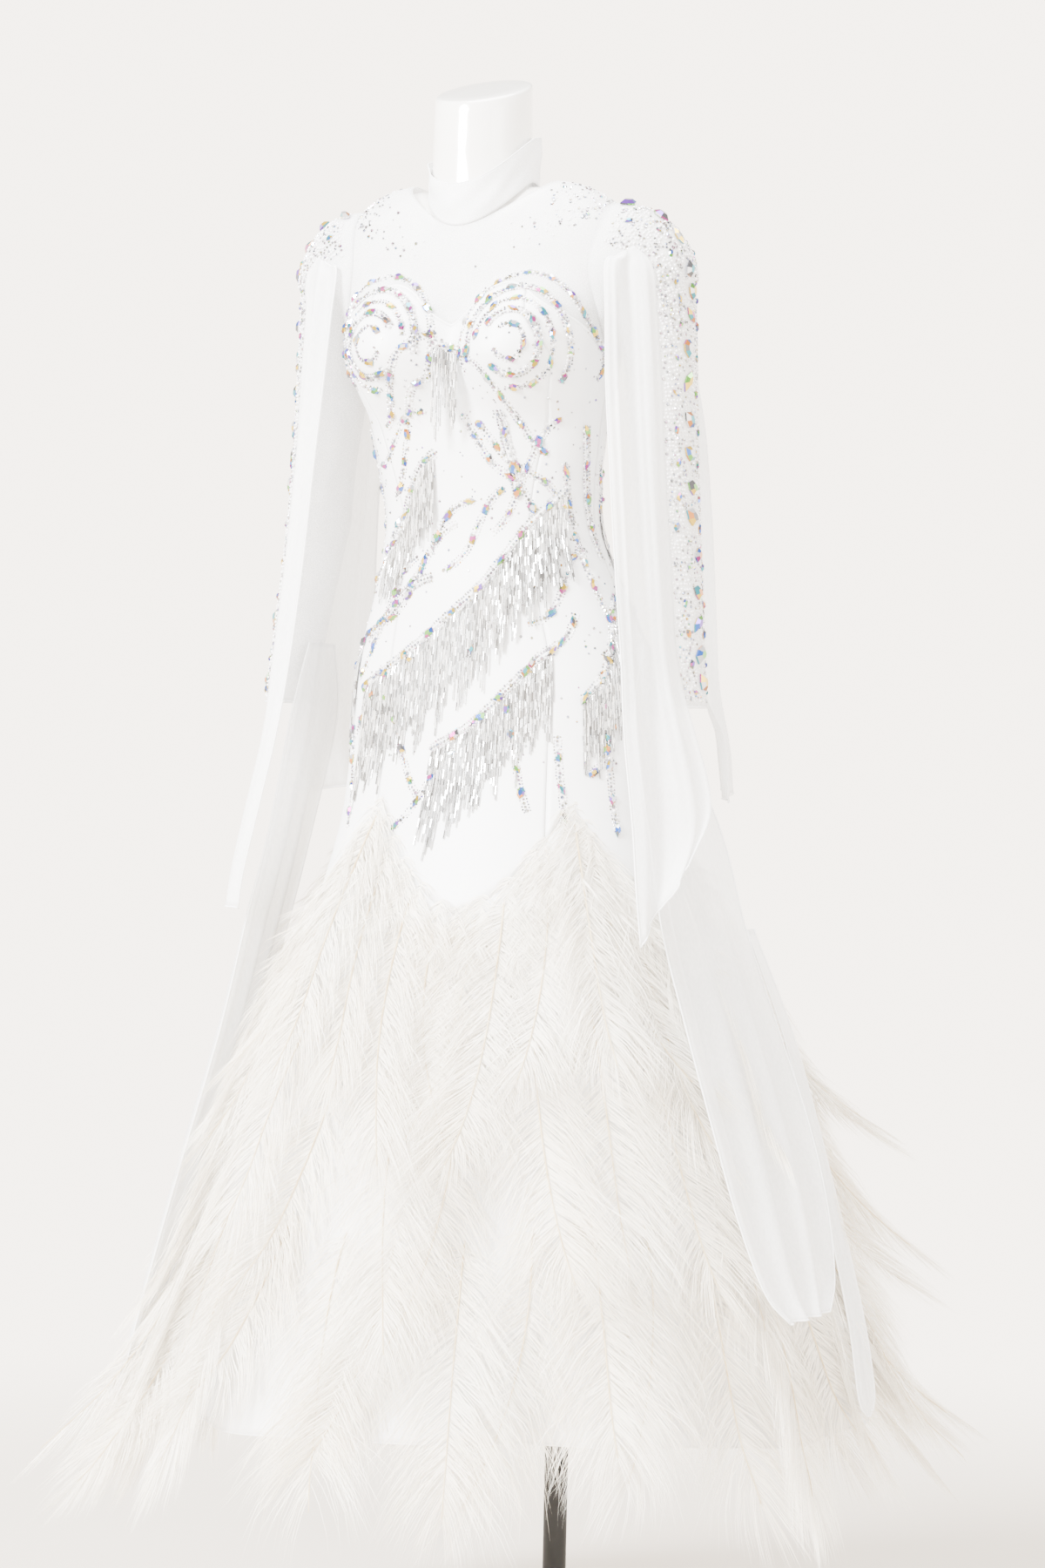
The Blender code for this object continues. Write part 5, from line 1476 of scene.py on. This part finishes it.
def scatter():
    """Single stones between the lines, and the stones that crowd towards the shoulder tips."""
    heap = Heap(LOOSE_SEED)
    draw = heap.draw
    for _ in range(LOOSE_STONES):
        angle, z = draw.uniform(-180, 180), draw.uniform(*LOOSE_SPAN)
        if abs(angle) > ZIP_CLEAR:
            continue
        centre, away = laid(angle, z)
        heap.crystal(centre, away, draw.choice(LOOSE_SIZES) * MM)
    for _ in range(CROWD_DRAWS):
        side = draw.choice((-1, 1))
        level = 0.10 + 0.36 * draw.random() ** 0.7
        angle = side * (90 + draw.gauss(0, 1) * mix(10, 26, smooth((level - 0.1) / 0.3)))
        if draw.random() > smooth((level - 0.02) / 0.40):
            continue
        if armhole(level) > 0 and abs(abs(angle) - 90) < armhole(level) + 3:
            continue
        centre, away = laid(angle, trunk(angle, level).z)
        if draw.random() < CROWD_CRYSTALS:
            heap.crystal(centre, away, draw.choice(CROWD_SIZES) * MM)
        else:
            heap.pearl(centre, away, draw.uniform(*CROWD_PEARLS) * MM)
    heap.piece("stones_scattered", "crystal_stones", [])


BAND_HALF, BAND_TURN, BAND_TOP, BAND_PITCH = 50, -10, -0.85, 4.1 * MM
MIDDLE_GEMS, SIDE_GEMS = (14.5, 19.5), (6.5, 9.5)       # millimetres across, least and most
GEM_STEP = (30, 38)         # millimetres from one middle gem to the next, least and most
SIDE_GEM_TURN, SIDE_GEM_LOWER = 26, 0.12    # degrees to each side, rows further down
SLEEVE_ROW, CAP_ROW, CAP_BAND_ROW = 90 * MM, 130 * MM, 115 * MM     # the length of one row
BAND_PEARLS, BAND_CRYSTALS = (2.8, 3.7), (2.8, 4.2)
PEARL_SHARE, FILLED_SHARE = 0.58, 0.93      # of the places in a band; the rest stay bare


def on_sleeve(side, phi, row):
    """A point on a sleeve's band, the way it faces and the way down it."""
    phi += BAND_TURN
    here = sleeve_point(side, phi, row, MID + THIN / 2)
    around = sleeve_point(side, phi + 3, row) - sleeve_point(side, phi - 3, row)
    fall = sleeve_point(side, phi, row + 0.05) - sleeve_point(side, phi, row - 0.05)
    return here, (around.cross(fall) * -side).normalized(), fall.normalized()


def band_gems(heap, side):
    """The large gems of a band, each with a smaller one on both sides; returns what they cover."""
    draw = heap.draw
    row, covered = BAND_TOP, []
    while row < SLEEVE_ROWS - 0.1:
        phi = draw.uniform(-9, 9)
        centre, away, fall = on_sleeve(side, phi, row)
        across = draw.uniform(*MIDDLE_GEMS) * MM
        heap.crystal(centre + away * 0.5 * MM, away, across, True, fall, draw.uniform(-0.8, 0.8))
        covered.append((centre, across * 0.62))
        for off in (-SIDE_GEM_TURN, SIDE_GEM_TURN):
            spot, out, way = on_sleeve(side, phi + off + draw.uniform(-6, 6), row + SIDE_GEM_LOWER)
            size = draw.uniform(*SIDE_GEMS) * MM
            heap.crystal(spot + out * 0.4 * MM, out, size, True, way, draw.uniform(-1, 1))
            covered.append((spot, size * 0.6))
        row += draw.uniform(*GEM_STEP) * MM / (SLEEVE_ROW if row >= 0 else CAP_ROW)
    return covered


def sleeve_stones():
    """The encrusted band down the outer side of each sleeve."""
    for side, word in SIDES:
        heap = Heap(BAND_SEED + side)
        draw = heap.draw
        covered = band_gems(heap, side)
        row = BAND_TOP
        while row < SLEEVE_ROWS - 0.03:
            spread = BAND_HALF + 10 * smooth(-row * 1.5)
            around = (sleeve_point(side, 10, row) - sleeve_point(side, 0, row)).length
            turn_step = 10 * BAND_PITCH / around
            phi = -spread + draw.uniform(0, turn_step)
            while phi < spread:
                place = phi + draw.uniform(-0.3, 0.3) * turn_step
                centre, away, _ = on_sleeve(side, place, row + draw.uniform(-0.012, 0.012))
                if all((centre - spot).length > reach for spot, reach in covered):
                    pick = draw.random()
                    if pick < PEARL_SHARE:
                        heap.pearl(centre, away, draw.uniform(*BAND_PEARLS) * MM)
                    elif pick < FILLED_SHARE:
                        heap.crystal(centre, away, draw.uniform(*BAND_CRYSTALS) * MM)
                phi += turn_step
            row += BAND_PITCH / (SLEEVE_ROW if row >= 0 else CAP_BAND_ROW)
        heap.piece("sleeve_stones_" + word, "crystal_stones", [])


# ---------------------------------------------------------------- ostrich plumes

# Plume tiers: name, level of the roots (2 is the join, 3 the hem), length of a plume, length of
# its barbs, how far its tip stands off.
TIERS = (("1", 2.030, 0.285, 0.112, 0.046),
         ("2", 2.300, 0.300, 0.124, 0.050),
         ("3", 2.640, 0.275, 0.128, 0.048))
ROOT_STRIP = 0.35 * MM
SPARE = 0.028 * (np.array(cad_high) - np.array(cad_low)) + 0.008    # barbs may stand this proud
REACH = np.array(cad_low) - SPARE, np.array(cad_high) + SPARE
UNDER_FLOATS, PRESSED = ((50, 108), (245, 310)), 0.53
BARBS, LOCKS = 650, 60      # on each plume; neighbouring barbs cling in locks
BARB_HALF = 0.52 * MM
QUILL_RADII = 1.0 * MM, 0.45 * MM       # at the root and at the tip
DOWN_COUNT, DOWN_LONG, DOWN_WIDE, DOWN_BARBS = 76, 0.085, 0.052, 150
DOWN_LEVEL, DOWN_STANDS = 1.985, 0.010
CURL_FROM, TIP_CURL = 0.7, 0.16     # from this share on a quill's end turns outwards, this fast
# Barbs, by their place along the quill: how long the first ones are, how much they gain and by
# where; from where they shorten again, over what stretch, and what share they lose.
FIRST_LONG, GAIN, GAIN_OVER = 0.40, 0.60, 0.20
SHORTEN_FROM, SHORTEN_OVER, SHORTEN_BY = 0.75, 0.25, 0.40
# Degrees that they stand off the quill and how these vary, how much wider the first ones stand,
# and how far the last ones close along it.
STAND_OFF, OFF_VARIES, OFF_BY_LOCK = 58, 7, 4
WIDER, WIDER_OVER = 40, 0.12
CLOSE_FROM, CLOSE_OVER, CLOSE_BY = 0.72, 0.28, 0.80
BARB_JOINTS = (0.28, 0.64, 1.0)     # shares of a barb's length
DROOP, LIFT = 0.70, 0.05    # shares of its angle and of its length
LIFT_FIRST, LIFT_FALL = 1.2, 1.6
BARB_SUNK = 1.5             # millimetres that a barb's root lies under the quill's path
# Where the plumes of each place stand: degrees off its middle, share of the length and of the
# stand-off, and how many degrees the tip swings aside.
FAN = (((-31, 0.78, 0.55, -9), (-21, 0.95, 0.90, -6), (-10, 0.88, 0.60, -9), (0, 1.00, 1.05, 2),
        (9, 0.90, 0.70, 8), (20, 0.97, 0.95, 5), (31, 0.80, 0.60, 10)),
       ((-7.5, 1.0, 0.55, -5), (7.5, 0.93, 1.0, 6)), ((-6, 0.97, 0.6, -5), (6, 1.0, 1.0, 4)))
LENGTHS = ((0.90, 1.08), (0.88, 1.08), (0.74, 1.12))    # shortest and longest share, by tier
PLACES = ((JOIN_TURN, 5), (20, 12), (8, 15))    # first place of each tier, and how many places
# Plumes that fly out at the sides: tier, angle, level, share of the length, lift of the tip.
FLYING = ((0, 128, 2.10, 0.90, 0.085), (0, 120, 2.16, 0.80, 0.070), (1, 118, 2.30, 0.95, 0.070),
          (1, 136, 2.34, 0.90, 0.090), (2, 124, 2.60, 1.00, 0.085), (2, 138, 2.62, 1.00, 0.095),
          (2, 130, 2.66, 1.05, 0.060), (2, 114, 2.68, 1.00, 0.070), (2, -60, 2.60, 1.05, 0.082),
          (2, -72, 2.66, 1.00, 0.070), (2, -66, 2.70, 1.00, 0.050), (2, -50, 2.68, 1.00, 0.060))


def quill_path(angle, level, length, stands, sway, flight):
    """Points down a plume's quill, from its root on the skirt to its tip."""
    root, quill = trunk(angle, level, CLOTH), []
    for share in steps(0, 1, 16):
        z = root.z + 3 * MM - length * share * (1 - 0.06 * share)
        out = CLOTH + 1.6 * MM + stands * share ** 0.8 + flight * share ** 2.2
        out += TIP_CURL * max(share - CURL_FROM, 0) ** 2
        quill.append(ring(angle + sway * share * share, z, out))
    return quill


def climb(share, start, over):
    """Up from 0 to 1 over a stretch that begins at start."""
    return np.clip((share - start) / over, 0, 1)


def plume(draw, angle, level, length, wide, stands, sway, flight=0.0, barbs=BARBS):
    """One plume: its quill's path, and its barbs as slim ribbons that droop from both sides."""
    quill = quill_path(angle, level, length, stands, sway, flight)
    spine = np.array(quill)
    tilt = math.radians(draw.uniform(-22, 22))
    s, c = turn(angle)
    outward, along_hem = np.array((s, -c, 0.0)), np.array((c, s, 0.0))
    away = outward * math.cos(tilt) + along_hem * math.sin(tilt)
    across = along_hem * math.cos(tilt) - outward * math.sin(tilt)

    rng = np.random.default_rng(draw.randrange(1 << 30))
    share = 0.015 + 0.985 * (np.arange(barbs) + rng.random(barbs)) / barbs
    sign = np.where(rng.random(barbs) < 0.5, -1.0, 1.0)
    lock = (share * LOCKS).astype(int) * 2 + (sign > 0)
    clings = rng.normal(0, 1, (2 * LOCKS + 4, 3))[lock]
    spot = np.minimum(share, 0.999) * (len(spine) - 1)
    low = np.minimum(spot.astype(int), len(spine) - 2)
    part = (spot - low)[:, None]
    way = spine[low + 1] - spine[low]
    way /= np.linalg.norm(way, axis=1)[:, None]
    here = spine[low] * (1 - part) + spine[low + 1] * part - away * BARB_SUNK * MM

    full = ((FIRST_LONG + GAIN * climb(share, 0, GAIN_OVER))
            * (1 - SHORTEN_BY * climb(share, SHORTEN_FROM, SHORTEN_OVER)))
    reach = wide * full * (1 + 0.06 * clings[:, 0] + rng.uniform(-0.12, 0.12, barbs))
    closing = climb(share, CLOSE_FROM, CLOSE_OVER) ** 1.5
    spread = np.radians((1 - CLOSE_BY * closing)
                        * (STAND_OFF + OFF_BY_LOCK * clings[:, 1] + rng.normal(0, OFF_VARIES, barbs)
                           + WIDER * (1 - climb(share, 0, WIDER_OVER))))
    droop = DROOP + 0.10 * clings[:, 2] + rng.normal(0, 0.08, barbs)
    lift = LIFT + 0.05 * clings[:, 0] + rng.normal(0, 0.07, barbs)
    points, before = [here], 0.0
    for joint in BARB_JOINTS:
        bend = spread * (1 - droop * joint)
        step = (joint - before) * reach
        before = joint
        here = here + (across * (sign * np.sin(bend))[:, None] + way * np.cos(bend)[:, None]
                       + away * (lift * (LIFT_FIRST - LIFT_FALL * joint))[:, None]) * step[:, None]
        points.append(here)

    half = BARB_HALF * rng.uniform(0.7, 1.3, barbs)[:, None]
    edge = way * 0.8 + away * rng.normal(0, 0.35, barbs)[:, None]
    edge *= half / np.linalg.norm(edge, axis=1)[:, None]
    found = np.stack([points[0] - edge, points[0] + edge, points[1] - edge, points[1] + edge,
                      points[2] - edge * 0.7, points[2] + edge * 0.7, points[3]], axis=1)
    inside = np.all((found > REACH[0]) & (found < REACH[1]), axis=(1, 2))
    found = found[inside]
    start = np.arange(len(found))[:, None] * 7
    quads = np.concatenate([start + (0, 1, 3, 2), start + (2, 3, 5, 4)])
    return quill, found.reshape(-1, 3), quads.tolist() + (start + (4, 5, 6)).tolist()


class Gathered:
    """Points and faces of many plumes, gathered for one mesh."""

    def __init__(self):
        self.points, self.faces, self.which, self.count = [], [], [], 0

    def add(self, points, faces, material=0):
        self.points.append(np.array(points))
        self.faces += [tuple(v + self.count for v in face) for face in faces]
        self.which += [material] * len(faces)
        self.count += len(points)

    def mesh(self, name, materials):
        return mesh_piece(name, np.concatenate(self.points).tolist(), self.faces, materials,
                          self.which, False)


def down_edge():
    """Short down sewn along the join, which hides the seam."""
    draw, down = random.Random(DOWN_SEED), Gathered()
    for angle in steps(0, 360, DOWN_COUNT)[:-1]:
        _, found, faces = plume(draw, angle + draw.uniform(-2, 2), DOWN_LEVEL,
                                DOWN_LONG * draw.uniform(0.7, 1.2), DOWN_WIDE, DOWN_STANDS,
                                draw.uniform(-6, 6), 0.0, DOWN_BARBS)
        down.add(found, faces)
    seat(down.mesh("ostrich_down_edge", [BARB]), "ostrich_plume")


def plumes():
    for number, (word, level, length, wide, stand_off) in enumerate(TIERS):
        draw = random.Random(PLUME_SEED + number)
        first, places = PLACES[number]
        strip = [trunk(a, level, MID + THIN / 2) for a in steps(0, 360, 180)[:-1]]
        tier = Gathered()
        tier.add(*tube(strip, ROOT_STRIP, 6, True), 2)
        drawn = []
        for i in range(places):
            for aside, long, off, swing in FAN[number]:
                angle = first + 360 * i / places + aside + draw.uniform(-2, 2)
                under_float = any(lo < angle % 360 < hi for lo, hi in UNDER_FLOATS)
                stands = stand_off * off * (PRESSED if under_float else 1)
                vary = draw.uniform(*LENGTHS[number])
                drawn.append((angle, level, length * long * vary, wide, stands,
                              swing + draw.uniform(-5, 5), 0.0))
        for flying_tier, angle, root, long, flight in FLYING:
            if flying_tier == number:
                drawn.append((angle, root, length * long, wide * 0.9, 0.02, 0.0, flight))
        for sizes in drawn:
            quill, found, faces = plume(draw, *sizes)
            tier.add(found, faces)
            tier.add(*taper(quill, *QUILL_RADII), 1)
        seat(tier.mesh("ostrich_plumes_" + word, [BARB, QUILL, SATIN]), "ostrich_plume",
             "plume_tier_" + word)


def taper(path, thick, thin, sides=5):
    """A tube along a path whose radius falls towards its end."""
    found, faces = tube(path, 1.0, sides)
    for i, centre in enumerate(path):
        radius = mix(thick, thin, i / (len(path) - 1))
        for k in range(sides):
            found[i * sides + k] = centre + (found[i * sides + k] - centre) * radius
    return found, faces


# ---------------------------------------------------------------- room, light and camera

VIEW_TURN, VIEW_FAR, VIEW_HIGH, VIEW_ROLL = 25.0, 4.8, 0.95, 1.24
FRAME_HIGH, PIXELS_A_METRE, SENSOR = 1800, 1060, 36.0
VIEW_SLIP = 0.0525          # the camera stands this far to its own left of the pole


def camera():
    a = math.radians(VIEW_TURN)
    right = Vector((math.cos(a), math.sin(a), 0))
    made = bpy.data.objects.new("camera", bpy.data.cameras.new("camera"))
    bpy.context.scene.collection.objects.link(made)
    made.location = (Vector((VIEW_FAR * math.sin(a), -VIEW_FAR * math.cos(a), VIEW_HIGH))
                     - right * VIEW_SLIP)
    level = Euler((math.pi / 2, 0, a)).to_quaternion()
    made.rotation_mode = "QUATERNION"
    made.rotation_quaternion = level @ Quaternion((0, 0, 1), math.radians(VIEW_ROLL))
    made.data.sensor_fit, made.data.sensor_height = "VERTICAL", SENSOR
    made.data.lens = VIEW_FAR * PIXELS_A_METRE / FRAME_HIGH * SENSOR
    bpy.context.scene.camera = made


def room():
    bpy.ops.mesh.primitive_circle_add(vertices=96, radius=FLOOR_R, fill_type="NGON")
    floor = bpy.context.active_object
    floor.name = floor.data.name = "plain_floor"
    floor.data.materials.append(FLOOR)
    floor.select_set(False)


# Lamps: name, metres from the pole to the camera's right, away from the camera (below zero: on its
# side) and up, width, watts, colour.
LAMPS = (("key_window", -2.9, -2.6, 2.9, 1.6, 1150, (0.95, 0.98, 1.0)),
         ("fill_panel", 2.6, -3.4, 1.8, 2.6, 120, (0.95, 0.98, 1.0)),
         ("top_panel", 0.0, -0.4, 3.9, 2.4, 340, (0.95, 0.98, 1.0)))
LAMP_AIM = Vector((-0.05, -0.03, 0.95))
# The room's walls glow most at eye level: where the glow starts and ends to fall off, as the sine
# of the height angle, and its strength there.
ROOM_GLOW, ROOM_COLOUR = (0.18, 0.50, 6.4, 1.5), (1.0, 0.905, 0.795, 1)


def lamps():
    a = math.radians(VIEW_TURN)
    right, back = Vector((math.cos(a), math.sin(a), 0)), Vector((-math.sin(a), math.cos(a), 0))
    for name, x, far, z, size, watts, colour in LAMPS:
        data = bpy.data.lights.new(name, "AREA")
        data.shape, data.size, data.energy, data.color = "DISK", size, watts, colour
        made = bpy.data.objects.new(name, data)
        bpy.context.scene.collection.objects.link(made)
        made.location = right * x + back * far + Vector((0, 0, z))
        made.rotation_euler = (LAMP_AIM - made.location).to_track_quat("-Z", "Y").to_euler()


def room_glow():
    world = bpy.data.worlds.new("soft_room")
    bpy.context.scene.world = world
    world.use_nodes = True
    nodes, links = world.node_tree.nodes, world.node_tree.links
    facing = nodes.new("ShaderNodeTexCoord")
    split = nodes.new("ShaderNodeSeparateXYZ")
    level = nodes.new("ShaderNodeMath")
    level.operation = "ABSOLUTE"
    fall = nodes.new("ShaderNodeMapRange")
    fall.interpolation_type = "SMOOTHSTEP"
    for socket, value in zip(("From Min", "From Max", "To Min", "To Max"), ROOM_GLOW):
        fall.inputs[socket].default_value = value
    links.new(facing.outputs["Generated"], split.inputs["Vector"])
    links.new(split.outputs["Z"], level.inputs[0])
    links.new(level.outputs[0], fall.inputs["Value"])
    links.new(fall.outputs["Result"], nodes["Background"].inputs["Strength"])
    nodes["Background"].inputs["Color"].default_value = ROOM_COLOUR


camera()
room()
lamps()
room_glow()
dress_form()
stand()
yokes()
bodice()
skirts()
petticoats()
collar()
sleeves()
floats()
learn_worn()
zip_fastener()
fringes()
stone_lines()
flat_lines()
scatter()
sleeve_stones()
down_edge()
plumes()
